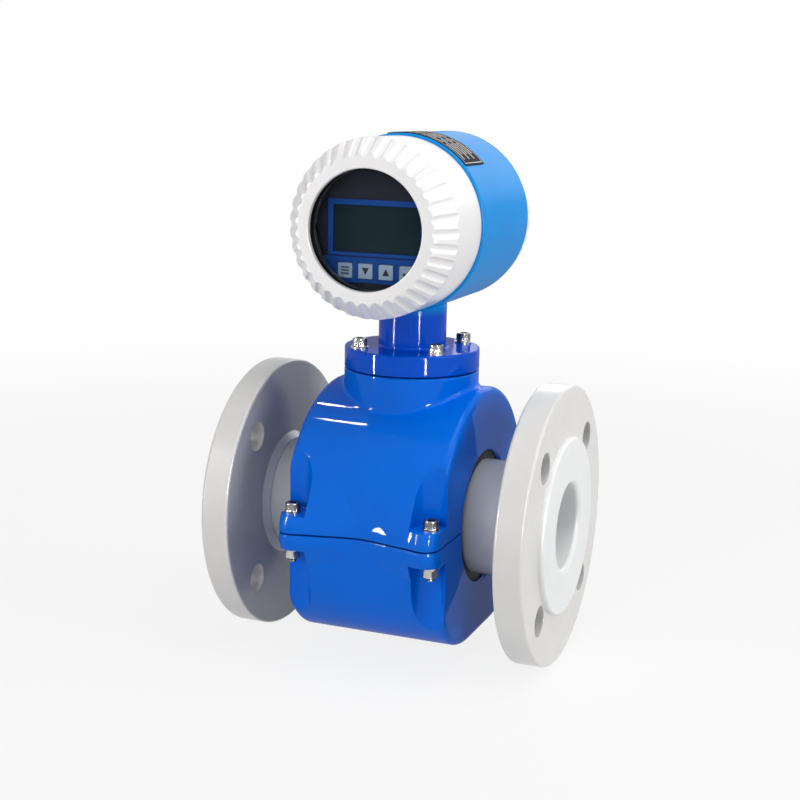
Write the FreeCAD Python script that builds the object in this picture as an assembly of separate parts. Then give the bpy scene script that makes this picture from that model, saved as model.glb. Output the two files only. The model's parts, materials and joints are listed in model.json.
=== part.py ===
import FreeCAD, Part
import math
import os

"""Electromagnetic flow meter with flanged ends and a local display.

Millimetres. +X runs along the pipe in the direction of flow, +Z is up and the display faces -Y.
The origin is on the axis of the bore, midway between the two sealing faces.
"""

Vec = FreeCAD.Vector
X = Vec(1, 0, 0)
Y = Vec(0, 1, 0)
Z = Vec(0, 0, 1)

# Measuring section: a lined steel tube with a flange at each end.
FACE_TO_FACE = 200.0
BORE_D = 50.0
LINER_WALL = 4.5
TUBE_WALL = 4.5
LINER_FACE_D = 104.0
LINER_FACE_T = 3.0
LINER_MOUTH_R = 3.0
FLANGE_OD = 165.0
FLANGE_T = 17.0
FLANGE_EDGE_R = 1.6
WELD_LEG = 4.0
BOLT_CIRCLE = 125.0
BOLT_HOLE_D = 18.0
BOLT_COUNT = 4

# Electrodes on the horizontal diameter, each with a bush and a nut.
ELECTRODE_HEAD_D = 10.0
ELECTRODE_HEAD_T = 1.2
ELECTRODE_RECESS = 0.3
ELECTRODE_SHANK_D = 5.0
ELECTRODE_LENGTH = 22.0
ELECTRODE_BOSS_D = 20.0
ELECTRODE_BOSS_H = 4.0
BUSH_D = 9.0
BUSH_FLANGE_D = 15.0
BUSH_FLANGE_T = 2.0
ELECTRODE_NUT_AF = 9.0
ELECTRODE_NUT_T = 4.0

# Field coils: a core with a saddle shoe, a winding and a ring-shaped return yoke.
CORE_D = 22.0
SHOE_T = 3.0
SHOE_WIDTH = 44.0
SHOE_HALF_ANGLE = 36.0
COIL_D = 52.0
COIL_H = 16.0
COIL_LIFT = 2.5
YOKE_INNER_D = 124.0
YOKE_T = 3.0
YOKE_WIDTH = 28.0

# Cast housing in two halves, clamped together round the tube.
BODY_LENGTH = 96.0
BODY_WAIST_R = 76.2
BODY_END_R = 77.0
BODY_EDGE_R = 4.0
LOWER_SIDE = 16.0
LOWER_CORNER_R = 55.5
BODY_WALL = 6.2
CHAMBER_HALF = 29.5
END_CHAMBER_R = 60.0
END_WALL = 5.0
TUBE_HOLE_GAP = 5.2
TUBE_HOLE_EDGE_R = 1.5
PARTING_GASKET_T = 1.0
PARTING_GASKET_INSET = 0.7
SEAL_WIDTH = 5.0
SEAL_DEPTH = 2.0

# Clamp lugs at the four corners of the parting line.
LUG_INSET = 6.0
LUG_Y = 74.0
LUG_T = 10.0
LUG_EDGE = 11.0
LUG_CORNER_R = 8.0
LUG_LEVELS = (0.0, 10.0, 18.0, 26.0, 36.0, 46.0)
LUG_SWELL = (1.0, 0.88, 0.46, 0.16, -0.12, -0.32)
LUG_MIDDLE = (0.4, 0.1, -0.6, -1.4, -2.2, -3.0)
LUG_FLANK = ((16.0, 0.38), (27.0, 0.65), (35.0, 0.87))
LUG_BACK_Y = 42.0
POCKET_R = 10.6
POCKET_TOP = 60.0

# Socket cap screws, washers and nuts of one size throughout.
SCREW_D = 5.0
SCREW_HEAD_D = 8.5
SCREW_HEAD_H = 5.0
SCREW_SOCKET_AF = 4.0
SCREW_SOCKET_DEPTH = 3.0
SCREW_HOLE_D = 5.5
WASHER_D = 10.0
WASHER_T = 1.0
WASHER_HOLE_D = 5.3
LOCK_WASHER_D = 8.6
LOCK_WASHER_T = 1.2
LOCK_WASHER_SLOT = 0.8
NUT_AF = 8.0
NUT_T = 4.3
CLAMP_SCREW_LENGTH = 30.0
NECK_SCREW_LENGTH = 20.0

# Round boss on the upper half and the neck flange that stands on it.
BOSS_D = 80.0
BOSS_TOP = 85.7
BOSS_EDGE_R = 0.8
BOSS_BLEND_R = 2.5
NECK_GASKET_T = 1.0
NECK_GASKET_INSET = 0.8
NECK_FLANGE_T = 12.0
NECK_FLANGE_EDGE_R = 1.0
NECK_SCREW_INSET = 6.5
NECK_D = 40.0
NECK_BORE_D = 26.0
NECK_FOOT_R = 1.5
CABLE_D = 7.0
CABLE_TAIL = 18.7
CABLE_END_BELOW_AXIS = 38.0
GROMMET_T = 9.0

# Converter head: a round casting with a screwed cover at each end.
HEAD_Z = 172.0
HEAD_D = 102.0
HEAD_FRONT = -25.0
HEAD_REAR = 58.6
HEAD_EDGE_R = 1.2
HEAD_WALL = 6.0
PARTITION_FRONT = 12.0
PARTITION_T = 4.0
THREAD_WALL = 4.7
THREAD_DEPTH = 14.0
THREAD_GAP = 0.3

# Covers: a plain rim, a sloped shoulder with finger flutes, and a flat face.
COVER_STEP = 1.4
COVER_SEAM = 0.4
COVER_SLOPE = 8.6
COVER_SHOULDER = 11.5
COVER_SHOULDER_R = 3.0
COVER_RIM_R = 0.8
COVER_LIP_R = 0.8
COVER_SKIRT_T = 3.2
COVER_SKIRT_LENGTH = 12.0
FRONT_COVER_LENGTH = 50.6
REAR_COVER_LENGTH = 20.0
REAR_COVER_FACE_T = 5.0
FLUTE_COUNT = 36
FLUTE_R = 3.3
FLUTE_DEPTH = 1.5
FLUTE_LENGTH = 30.0
ORING_SECTION = 1.9
ORING_GAP = 0.3

# Window: a glass disc held against the cover's lip by a threaded ring.
WINDOW_MARGIN = 7.9
WINDOW_LIP_T = 3.0
WINDOW_SEAT = 3.6
WINDOW_GASKET_T = 0.8
GLASS_T = 5.0
RETAINER_T = 3.2
RETAINER_GAP = 0.2

# Display stack behind the window.
PANEL_SETBACK = 6.5
PANEL_GAP = 1.3
PANEL_T = 2.0
LCD_WIDTH = 52.0
LCD_BOTTOM = -13.8
LCD_TOP = 12.2
LCD_RECESS = 0.5
LCD_FRAME = 1.5
BEZEL_BAR = 3.1
BEZEL_BOTTOM_BAR = 1.9
BEZEL_T = 0.6
KEY_BAND_BOTTOM = -30.4
KEY_BAND_TOP = -16.4
KEY_BAND_T = 0.6
KEY_NAMES = ("key_menu", "key_down", "key_up", "key_enter")
KEY_PITCH = 12.2
KEY_WIDTH = 8.5
KEY_HEIGHT = 8.3
KEY_Z = -23.9
KEY_PROUD = 0.5
KEY_GAP = 0.25
KEY_FLANGE = 0.8
KEY_FLANGE_T = 1.0
KEY_CORNER_R = 0.5
KEY_TRAVEL = 0.5
KEY_STOP_GAP = 0.1
KEY_SEAT_GAP = 0.05
SWITCH_WIDTH = 6.0
SWITCH_PLUNGER = 1.5
BOARD_T = 1.6
BOARD_EDGE_GAP = 2.0
DISPLAY_BOARD_SETBACK = 9.0
MAIN_BOARD_SETOFF = 26.0
POST_D = 5.0
POST_INSET = 5.5
POST_ANGLE = 38.0
POST_HOLE_GAP = 0.2

# Parts on the main board and in the terminal compartment.
TRANSFORMER = (26.0, 14.0, 22.0)
TRANSFORMER_AT = (-10.0, -16.0)
CAPACITOR_D = 10.0
CAPACITOR_H = 15.0
CAPACITOR_EDGE_R = 0.8
CAPACITOR_Z = 15.0
CAPACITOR_PITCH = 13.0
RELAY = (12.0, 12.0, 18.0)
RELAY_AT = (14.0, -14.0)
TERMINAL_BLOCK = (62.0, 14.0, 18.0)
TERMINAL_COUNT = 9
TERMINAL_SCREW_D = 4.2
TERMINAL_SCREW_DEPTH = 5.0

# Cable glands on the blind side of the head.
GLAND_Y = 32.0
GLAND_PITCH = 28.0
GLAND_PAD_D = 25.0
GLAND_PAD_STEP = 1.5
GLAND_THREAD_D = 20.0
GLAND_THREAD_L = 8.0
GLAND_HEX_AF = 22.0
GLAND_HEX_T = 6.0
GLAND_NUT_D = 21.0
GLAND_NUT_AF = 19.4
GLAND_NUT_T = 13.0
GLAND_NUT_LIP = 3.0
GLAND_NECK_D = 17.0
GLAND_CABLE_D = 8.0
GLAND_SEAL_D = 13.0
GLAND_SEAL_T = 9.0
GLAND_MOUTH_D = 12.0

# Small outside pieces of the head.
PLATE_T = 0.6
PLATE_LOW_ANGLE = 48.5
PLATE_HIGH_ANGLE = -10.0
PLATE_REAR = 8.0
PLATE_FRONT_MARGIN = 2.0
EARTH_Y = 36.0
EARTH_ANGLE = 50.0
EARTH_PAD_D = 13.0
EARTH_PAD_H = 2.5
EARTH_SCREW_LENGTH = 7.0

# Places that follow from the sizes above.
TUBE_R = BORE_D / 2 + LINER_WALL + TUBE_WALL
TUBE_INNER_R = BORE_D / 2 + LINER_WALL
FLANGE_FACE_X = FACE_TO_FACE / 2 - LINER_FACE_T
FLANGE_BACK_X = FLANGE_FACE_X - FLANGE_T
TUBE_HOLE_R = TUBE_R + TUBE_HOLE_GAP
BODY_HALF = BODY_LENGTH / 2
LUG_X = BODY_HALF - LUG_INSET
LUG_REACH = LUG_Y + LUG_EDGE
PARTING = PARTING_GASKET_T / 2
NECK_FLANGE_Z = BOSS_TOP + NECK_GASKET_T
NECK_FLANGE_TOP = NECK_FLANGE_Z + NECK_FLANGE_T
NECK_SCREW_R = BOSS_D / 2 - NECK_SCREW_INSET
CABLE_LOW = BOSS_TOP - CABLE_TAIL
CABLE_HIGH = HEAD_Z - CABLE_END_BELOW_AXIS
HEAD_AXIS = Vec(0, 0, HEAD_Z)
HEAD_R = HEAD_D / 2
HEAD_INNER_R = HEAD_R - HEAD_WALL
THREAD_R = HEAD_R - THREAD_WALL
SKIRT_R = THREAD_R - THREAD_GAP
COVER_R = HEAD_R - COVER_STEP
COVER_FACE_R = COVER_R - COVER_SLOPE
COVER_INNER_R = SKIRT_R - COVER_SKIRT_T
FRONT_COVER_SEAT = HEAD_FRONT - COVER_SEAM
FRONT_COVER_FACE = FRONT_COVER_SEAT - FRONT_COVER_LENGTH
REAR_COVER_SEAT = HEAD_REAR + COVER_SEAM
REAR_COVER_FACE = REAR_COVER_SEAT + REAR_COVER_LENGTH
WINDOW_R = COVER_FACE_R - WINDOW_MARGIN
GLASS_R = WINDOW_R + WINDOW_SEAT
GLASS_FRONT = FRONT_COVER_FACE + WINDOW_LIP_T + WINDOW_GASKET_T
PANEL_R = COVER_INNER_R - PANEL_GAP
PANEL_FRONT = GLASS_FRONT + GLASS_T + RETAINER_T + PANEL_SETBACK
PANEL_BACK = PANEL_FRONT + PANEL_T
DISPLAY_BOARD_Y = PANEL_BACK + DISPLAY_BOARD_SETBACK
MAIN_BOARD_Y = PARTITION_FRONT - MAIN_BOARD_SETOFF
POST_R = PANEL_R - POST_INSET
PARTITION_REAR = PARTITION_FRONT + PARTITION_T
GLAND_PAD_X = HEAD_R + GLAND_PAD_STEP
GLAND_NECK_END = -GLAND_PAD_X - GLAND_HEX_T - GLAND_NUT_T + GLAND_NUT_LIP


def cylinder(axis, radius, start, end, centre=Vec(0, 0, 0)):
    """A cylinder round the line through centre along axis, from start to end on that axis."""
    base = centre - axis * centre.dot(axis) + axis * start
    return Part.makeCylinder(radius, end - start, base, axis)


def ring(axis, outer, inner, start, end, centre=Vec(0, 0, 0)):
    """A plain ring, with its inner wall cut right through."""
    disc = cylinder(axis, outer, start, end, centre)
    return disc.cut(cylinder(axis, inner, start - 1, end + 1, centre))


def block(x, y, z):
    """A box between pairs of limits on each axis."""
    return Part.makeBox(x[1] - x[0], y[1] - y[0], z[1] - z[0], Vec(x[0], y[0], z[0]))


def revolved(axis, profile, centre=Vec(0, 0, 0)):
    """A turned solid from (along, radius) corners about the line through centre."""
    out = X if axis == Z else Z
    base = centre - axis * centre.dot(axis)
    corners = [base + axis * along + out * radius for along, radius in profile]
    face = Part.Face(Part.makePolygon(corners + corners[:1]))
    return face.revolve(base, axis, 360)


def hexagon(axis, across_flats, start, end, centre=Vec(0, 0, 0)):
    """A hexagonal prism along an axis."""
    base = centre - axis * centre.dot(axis) + axis * start
    side = X if axis == Z else Z
    spin = FreeCAD.Rotation(axis, 60)
    corner = side * (across_flats / math.sqrt(3))
    corners = []
    for _ in range(6):
        corners.append(base + corner)
        corner = spin.multVec(corner)
    face = Part.Face(Part.makePolygon(corners + corners[:1]))
    return face.extrude(axis * (end - start))


def rims(solid, axis, along, radius):
    """The circular edges of one radius that lie at one place along an axis."""
    found = []
    for edge in solid.Edges:
        curve = edge.Curve
        if not isinstance(curve, Part.Circle) or abs(curve.Radius - radius) > 0.01:
            continue
        if abs(curve.Center.dot(axis) - along) < 0.01 and abs(curve.Axis.dot(axis)) > 0.999:
            found.append(edge)
    return found


def rounded(solid, size, axis, *places):
    """The solid with its circular edges rounded at each (along, radius) place."""
    edges = []
    for along, radius in places:
        edges += rims(solid, axis, along, radius)
    return solid.makeFillet(size, edges)


def around(axis, count, shape, centre=Vec(0, 0, 0), first=0.0):
    """Copies of a shape spaced evenly round an axis."""
    copies = []
    for index in range(count):
        copy = shape.copy()
        copy.rotate(centre, axis, first + index * 360.0 / count)
        copies.append(copy)
    return copies


def four_corners(shape):
    """A shape and its copies mirrored across the X and Y middle planes."""
    pair = [shape, shape.mirror(Vec(0, 0, 0), X)]
    return pair + [item.mirror(Vec(0, 0, 0), Y) for item in pair]


# ---- measuring section ----

def flange(side):
    """A slip-on flange with its weld bead; side is -1 for the inlet and +1 for the outlet."""
    disc = ring(X, FLANGE_OD / 2, TUBE_R, FLANGE_BACK_X, FLANGE_FACE_X)
    disc = rounded(disc, FLANGE_EDGE_R, X, (FLANGE_BACK_X, FLANGE_OD / 2), (FLANGE_FACE_X, FLANGE_OD / 2))
    bead = revolved(X, [
        (FLANGE_BACK_X, TUBE_R),
        (FLANGE_BACK_X, TUBE_R + WELD_LEG),
        (FLANGE_BACK_X - WELD_LEG, TUBE_R),
    ])
    hole = cylinder(X, BOLT_HOLE_D / 2, FLANGE_BACK_X - 1, FLANGE_FACE_X + 1, Vec(0, BOLT_CIRCLE / 2, 0))
    solid = disc.fuse(bead).cut(around(X, BOLT_COUNT, hole, first=180.0 / BOLT_COUNT))
    if side < 0:
        solid = solid.mirror(Vec(0, 0, 0), X)
    return solid.removeSplitter()


def measuring_tube():
    """The steel tube, with a boss and a hole for each electrode."""
    tube = ring(X, TUBE_R, TUBE_INNER_R, -FLANGE_FACE_X, FLANGE_FACE_X)
    reach = TUBE_R + ELECTRODE_BOSS_H
    bosses = cylinder(Y, ELECTRODE_BOSS_D / 2, -reach, reach)
    bosses = bosses.cut(cylinder(X, TUBE_INNER_R, -ELECTRODE_BOSS_D, ELECTRODE_BOSS_D))
    holes = cylinder(Y, BUSH_D / 2, -reach - 1, reach + 1)
    return tube.fuse(bosses).cut(holes).removeSplitter()


def liner():
    """The one-piece lining, flared out over both flange faces."""
    face = FACE_TO_FACE / 2
    body = ring(X, TUBE_INNER_R, BORE_D / 2, -face, face)
    for side in (-1, 1):
        start, end = sorted((side * FLANGE_FACE_X, side * face))
        body = body.fuse(ring(X, LINER_FACE_D / 2, BORE_D / 2, start, end))
    body = body.removeSplitter()
    body = rounded(body, LINER_MOUTH_R, X, (-face, BORE_D / 2), (face, BORE_D / 2))
    body = rounded(body, LINER_FACE_T / 2, X, (-face, LINER_FACE_D / 2), (face, LINER_FACE_D / 2))
    seat = BORE_D / 2 + ELECTRODE_RECESS + ELECTRODE_HEAD_T
    body = body.cut(cylinder(Y, ELECTRODE_HEAD_D / 2, -seat, seat))
    return body.cut(cylinder(Y, ELECTRODE_SHANK_D / 2, -LINER_FACE_D, LINER_FACE_D))


def electrode():
    """A button-headed electrode in the +Y wall of the bore."""
    start = BORE_D / 2 + ELECTRODE_RECESS
    head = cylinder(Y, ELECTRODE_HEAD_D / 2, start, start + ELECTRODE_HEAD_T)
    return head.fuse(cylinder(Y, ELECTRODE_SHANK_D / 2, start, start + ELECTRODE_LENGTH)).removeSplitter()


def electrode_bush():
    """The insulating bush between an electrode and the tube."""
    seat = TUBE_R + ELECTRODE_BOSS_H
    sleeve = cylinder(Y, BUSH_D / 2, 0, seat).cut(cylinder(X, TUBE_INNER_R, -BUSH_D, BUSH_D))
    collar = cylinder(Y, BUSH_FLANGE_D / 2, seat, seat + BUSH_FLANGE_T)
    return sleeve.fuse(collar).cut(cylinder(Y, ELECTRODE_SHANK_D / 2, 0, 2 * seat)).removeSplitter()


def electrode_nut():
    """The nut that pulls an electrode tight."""
    seat = TUBE_R + ELECTRODE_BOSS_H + BUSH_FLANGE_T
    nut = hexagon(Y, ELECTRODE_NUT_AF, seat, seat + ELECTRODE_NUT_T)
    return nut.cut(cylinder(Y, ELECTRODE_SHANK_D / 2, 0, 2 * seat))


def both_sides(shape):
    """A group of a shape and its mirror image across the middle plane of the bore."""
    return Part.makeCompound([shape, shape.mirror(Vec(0, 0, 0), Y)])


# ---- field coils ----

def pole_core():
    """The upper core: a saddle-shaped shoe on the tube and a round post up to the yoke."""
    half = SHOE_WIDTH / 2
    saddle = ring(X, TUBE_R + SHOE_T, TUBE_R, -half, half)
    spread = (TUBE_R + SHOE_T) * math.tan(math.radians(SHOE_HALF_ANGLE))
    top = TUBE_R + SHOE_T
    sector = Part.Face(Part.makePolygon([
        Vec(-half, 0, 0),
        Vec(-half, spread, top),
        Vec(-half, -spread, top),
        Vec(-half, 0, 0),
    ])).extrude(X * SHOE_WIDTH)
    post = cylinder(Z, CORE_D / 2, 0, YOKE_INNER_D / 2).common(cylinder(X, YOKE_INNER_D / 2, -half, half))
    core = saddle.common(sector).fuse(post).cut(cylinder(X, TUBE_R, -half, half))
    return core.removeSplitter()


def coil():
    """The upper winding, wound on its post."""
    low = TUBE_R + SHOE_T + COIL_LIFT
    winding = ring(Z, COIL_D / 2, CORE_D / 2, low, low + COIL_H)
    return rounded(winding, 2.0, Z, (low, COIL_D / 2), (low + COIL_H, COIL_D / 2))


def return_yoke():
    """The steel band that joins the outer ends of both posts."""
    half = YOKE_WIDTH / 2
    return ring(X, YOKE_INNER_D / 2 + YOKE_T, YOKE_INNER_D / 2, -half, half)


# ---- cast housing ----

def barrel():
    """The round body, a little waisted in the middle, with rounded ends."""
    waist = Part.Arc(Vec(-BODY_HALF, 0, BODY_END_R), Vec(0, 0, BODY_WAIST_R), Vec(BODY_HALF, 0, BODY_END_R))
    rest = Part.makePolygon([
        Vec(BODY_HALF, 0, BODY_END_R),
        Vec(BODY_HALF, 0, 0),
        Vec(-BODY_HALF, 0, 0),
        Vec(-BODY_HALF, 0, BODY_END_R),
    ])
    solid = Part.Face(Part.Wire([waist.toShape()] + rest.Edges)).revolve(Vec(0, 0, 0), X, 360)
    return rounded(solid, BODY_EDGE_R, X, (-BODY_HALF, BODY_END_R), (BODY_HALF, BODY_END_R))


def trough(wall, half_length):
    """The squarer section of the lower half, upside down: upright sides, big corners, flat floor."""
    side = BODY_WAIST_R - wall
    corner = LOWER_CORNER_R - wall
    flat = side - corner
    bend = corner * math.sqrt(0.5)
    start = -half_length
    edges = []
    for turn in (1, -1):
        edges.append(Part.Arc(
            Vec(start, turn * side, LOWER_SIDE),
            Vec(start, turn * (flat + bend), LOWER_SIDE + bend),
            Vec(start, turn * flat, LOWER_SIDE + corner),
        ).toShape())
        edges.append(Part.makeLine(Vec(start, turn * side, 0), Vec(start, turn * side, LOWER_SIDE)))
    top = LOWER_SIDE + corner
    edges.append(Part.makeLine(Vec(start, -flat, top), Vec(start, flat, top)))
    edges.append(Part.makeLine(Vec(start, -side, 0), Vec(start, side, 0)))
    section = Part.Face(Part.Wire(Part.__sortEdges__(edges)))
    return section.extrude(X * (2 * half_length))


def trough_form():
    """The outside of the lower half, upside down, with the edges of both ends rounded."""
    solid = trough(0, BODY_HALF)
    edges = []
    for edge in solid.Edges:
        box = edge.BoundBox
        if box.XLength < 0.01 and box.ZMax > 0.01:
            edges.append(edge)
    return solid.makeFillet(BODY_EDGE_R, edges)


def apron_section(level, swell, middle, inset=0.0):
    """The plan outline of the front at a height: it swells out of the body towards both ends."""
    root = math.sqrt(BODY_WAIST_R ** 2 - level ** 2) - inset
    swell = (LUG_REACH - BODY_WAIST_R) * swell
    reach = root + swell
    corner = LUG_CORNER_R - inset
    turn = BODY_HALF - LUG_CORNER_R
    end = BODY_HALF - inset
    flank = [(x, root + swell * share) for x, share in LUG_FLANK] + [(turn, reach)]
    points = [Vec(-x, -y, level) for x, y in reversed(flank)]
    points.append(Vec(0, -root - middle, level))
    points += [Vec(x, -y, level) for x, y in flank]
    front = Part.BSplineCurve()
    front.interpolate(Points=points, InitialTangent=X, FinalTangent=X)
    shoulder = corner - reach
    bend = corner * math.sqrt(0.5)
    left = Part.Arc(
        Vec(-end, shoulder, level),
        Vec(-turn - bend, shoulder - bend, level),
        Vec(-turn, -reach, level),
    )
    right = Part.Arc(
        Vec(turn, -reach, level),
        Vec(turn + bend, shoulder - bend, level),
        Vec(end, shoulder, level),
    )
    rest = Part.makePolygon([
        Vec(end, shoulder, level),
        Vec(end, -LUG_BACK_Y, level),
        Vec(-end, -LUG_BACK_Y, level),
        Vec(-end, shoulder, level),
    ])
    return Part.Wire([left.toShape(), front.toShape(), right.toShape()] + rest.Edges)


def apron():
    """The swelling on the front that carries two clamp lugs, blended up into the body."""
    return Part.makeLoft([apron_section(*row) for row in zip(LUG_LEVELS, LUG_SWELL, LUG_MIDDLE)], True)


def screw_pocket():
    """The upright pocket above a lug, open to the front, for a screw and its key."""
    well = cylinder(Z, POCKET_R, LUG_T, POCKET_TOP, Vec(LUG_X, LUG_Y, 0))
    slot = block(
        (LUG_X - POCKET_R, BODY_HALF + POCKET_R),
        (LUG_Y, LUG_REACH + POCKET_R),
        (LUG_T, POCKET_TOP),
    )
    return well.fuse(slot)


def housing_half(form):
    """One half of the housing above the parting plane: its form, both aprons, and four pockets."""
    front = apron()
    outside = form.fuse([front, front.mirror(Vec(0, 0, 0), Y)])
    half = block((-BODY_HALF, BODY_HALF), (-BODY_LENGTH, BODY_LENGTH), (PARTING, BODY_LENGTH))
    outside = outside.common(half)
    return outside.cut(four_corners(screw_pocket()))


def hollows(chamber):
    """The chamber, the tube's hole and the clamp holes that run through a half of the housing."""
    inner_half = BODY_HALF - END_WALL
    bolt = cylinder(Z, SCREW_HOLE_D / 2, -BODY_LENGTH, BODY_LENGTH, Vec(LUG_X, LUG_Y, 0))
    ends = cylinder(X, END_CHAMBER_R, -inner_half, inner_half)
    hole = cylinder(X, TUBE_HOLE_R, -BODY_LENGTH, BODY_LENGTH)
    return chamber.fuse([ends, hole] + four_corners(bolt))


def hollowed(half, chamber):
    """A half of the housing with everything cut out of it and the tube's hole rounded."""
    places = [(-BODY_HALF, TUBE_HOLE_R), (BODY_HALF, TUBE_HOLE_R)]
    return rounded(half.cut(hollows(chamber)), TUBE_HOLE_EDGE_R, X, *places)


def upper_chamber():
    """The room for the coils in the upper half."""
    return cylinder(X, BODY_WAIST_R - BODY_WALL, -CHAMBER_HALF, CHAMBER_HALF)


def neck_screw_places():
    """The centres of the four screws of the neck flange."""
    spot = Vec(NECK_SCREW_R, 0, 0)
    return [FreeCAD.Rotation(Z, 45 + 90 * index).multVec(spot) for index in range(4)]


def housing_upper():
    """The upper half, with the round boss for the neck."""
    floor = BODY_WAIST_R / 2
    boss = cylinder(Z, BOSS_D / 2, floor, BOSS_TOP)
    outside = housing_half(barrel()).fuse(boss)
    seam = [edge for edge in outside.Edges if is_boss_seam(edge)]
    outside = outside.makeFillet(BOSS_BLEND_R, seam)
    outside = rounded(outside, BOSS_EDGE_R, Z, (BOSS_TOP, BOSS_D / 2))
    shell = hollowed(outside, upper_chamber())
    shell = shell.cut(cylinder(Z, NECK_BORE_D / 2, floor, BOSS_TOP + 1))
    depth = NECK_SCREW_LENGTH - NECK_FLANGE_T - NECK_GASKET_T - WASHER_T + 1
    for place in neck_screw_places():
        shell = shell.cut(cylinder(Z, SCREW_D / 2, BOSS_TOP - depth, BOSS_TOP + 1, place))
    return shell


def is_boss_seam(edge):
    """True for the curved edges where the boss leaves the barrel."""
    box = edge.BoundBox
    if box.ZMin < LUG_T * 4 or box.ZMax > BOSS_TOP - 1:
        return False
    middle = edge.valueAt((edge.FirstParameter + edge.LastParameter) / 2)
    return abs(math.hypot(middle.x, middle.y) - BOSS_D / 2) < 0.05


def housing_lower():
    """The lower half, with the same lugs and pockets below the parting line."""
    chamber = trough(BODY_WALL, CHAMBER_HALF)
    return hollowed(housing_half(trough_form()), chamber).mirror(Vec(0, 0, 0), Z)


def housing_gasket():
    """The flat gasket in the parting line, a little inside the castings all round."""
    outline = apron_section(-PARTING, 1.0, LUG_MIDDLE[0], PARTING_GASKET_INSET)
    front = Part.Face(outline).extrude(Z * PARTING_GASKET_T)
    end = BODY_HALF - PARTING_GASKET_INSET
    middle = block((-end, end), (-LUG_BACK_Y, LUG_BACK_Y), (-PARTING, PARTING))
    sheet = middle.fuse([front, front.mirror(Vec(0, 0, 0), Y)])
    return sheet.cut(hollows(upper_chamber())).removeSplitter()


def tube_seals():
    """A rubber ring at each end, between the tube and the hole in the housing."""
    outer = BODY_HALF - SEAL_DEPTH
    seal = ring(X, TUBE_HOLE_R, TUBE_R, outer - SEAL_WIDTH, outer)
    return Part.makeCompound([seal, seal.mirror(Vec(0, 0, 0), X)])


# ---- fasteners ----

def cap_screw(seat, length, place):
    """A socket cap screw pointing down, with the underside of its head at the height seat."""
    head = cylinder(Z, SCREW_HEAD_D / 2, seat, seat + SCREW_HEAD_H, place)
    head = rounded(head, 0.4, Z, (seat + SCREW_HEAD_H, SCREW_HEAD_D / 2))
    shank = cylinder(Z, SCREW_D / 2, seat - length, seat, place)
    top = seat + SCREW_HEAD_H
    socket = hexagon(Z, SCREW_SOCKET_AF, top - SCREW_SOCKET_DEPTH, top + 1, place)
    return head.fuse(shank).cut(socket).removeSplitter()


def washer(low, place):
    """A flat washer with its underside at a height."""
    return ring(Z, WASHER_D / 2, WASHER_HOLE_D / 2, low, low + WASHER_T, place)


def lock_washer(low, place):
    """A split spring washer, shown flattened under its nut."""
    body = ring(Z, LOCK_WASHER_D / 2, WASHER_HOLE_D / 2, low, low + LOCK_WASHER_T, place)
    slot = block(
        (place.x, place.x + LOCK_WASHER_D),
        (place.y - LOCK_WASHER_SLOT / 2, place.y + LOCK_WASHER_SLOT / 2),
        (low - 1, low + LOCK_WASHER_T + 1),
    )
    return body.cut(slot)


def hex_nut(top, place):
    """A hexagon nut with its upper face at a height and its corners chamfered."""
    low = top - NUT_T
    corner = NUT_AF / math.sqrt(3)
    slope = corner - NUT_AF / 2
    blank = revolved(Z, [
        (low, 0),
        (low, NUT_AF / 2),
        (low + slope * 0.6, corner),
        (top - slope * 0.6, corner),
        (top, NUT_AF / 2),
        (top, 0),
    ])
    blank.translate(place)
    nut = hexagon(Z, NUT_AF, low, top, place).common(blank)
    return nut.cut(cylinder(Z, SCREW_D / 2, low - 1, top + 1, place))


def clamp_places():
    """The centres of the four clamp screws."""
    return [Vec(x, y, 0) for x in (-LUG_X, LUG_X) for y in (-LUG_Y, LUG_Y)]


# ---- neck joint ----

def neck_gasket():
    """The flat gasket between the boss and the neck flange."""
    outer = BOSS_D / 2 - NECK_GASKET_INSET
    disc = ring(Z, outer, NECK_BORE_D / 2, BOSS_TOP, BOSS_TOP + NECK_GASKET_T)
    for place in neck_screw_places():
        disc = disc.cut(cylinder(Z, SCREW_HOLE_D / 2, BOSS_TOP - 1, NECK_FLANGE_Z + 1, place))
    return disc


def neck_grommet():
    """The rubber plug that holds the cable in the bore of the boss."""
    return ring(Z, NECK_BORE_D / 2, CABLE_D / 2, BOSS_TOP - GROMMET_T, BOSS_TOP)


# ---- converter head ----

def gland_places():
    """The axes of the two cable entries."""
    return [Vec(0, GLAND_Y, HEAD_Z + side * GLAND_PITCH / 2) for side in (-1, 1)]


def earth_screw_pose(shape):
    """Turns a shape built on +Z at the origin to stand out of the head at the earth terminal."""
    placed = shape.copy()
    placed.rotate(Vec(0, 0, 0), Y, -90 - EARTH_ANGLE)
    placed.translate(Vec(0, EARTH_Y, HEAD_Z))
    return placed


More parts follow.
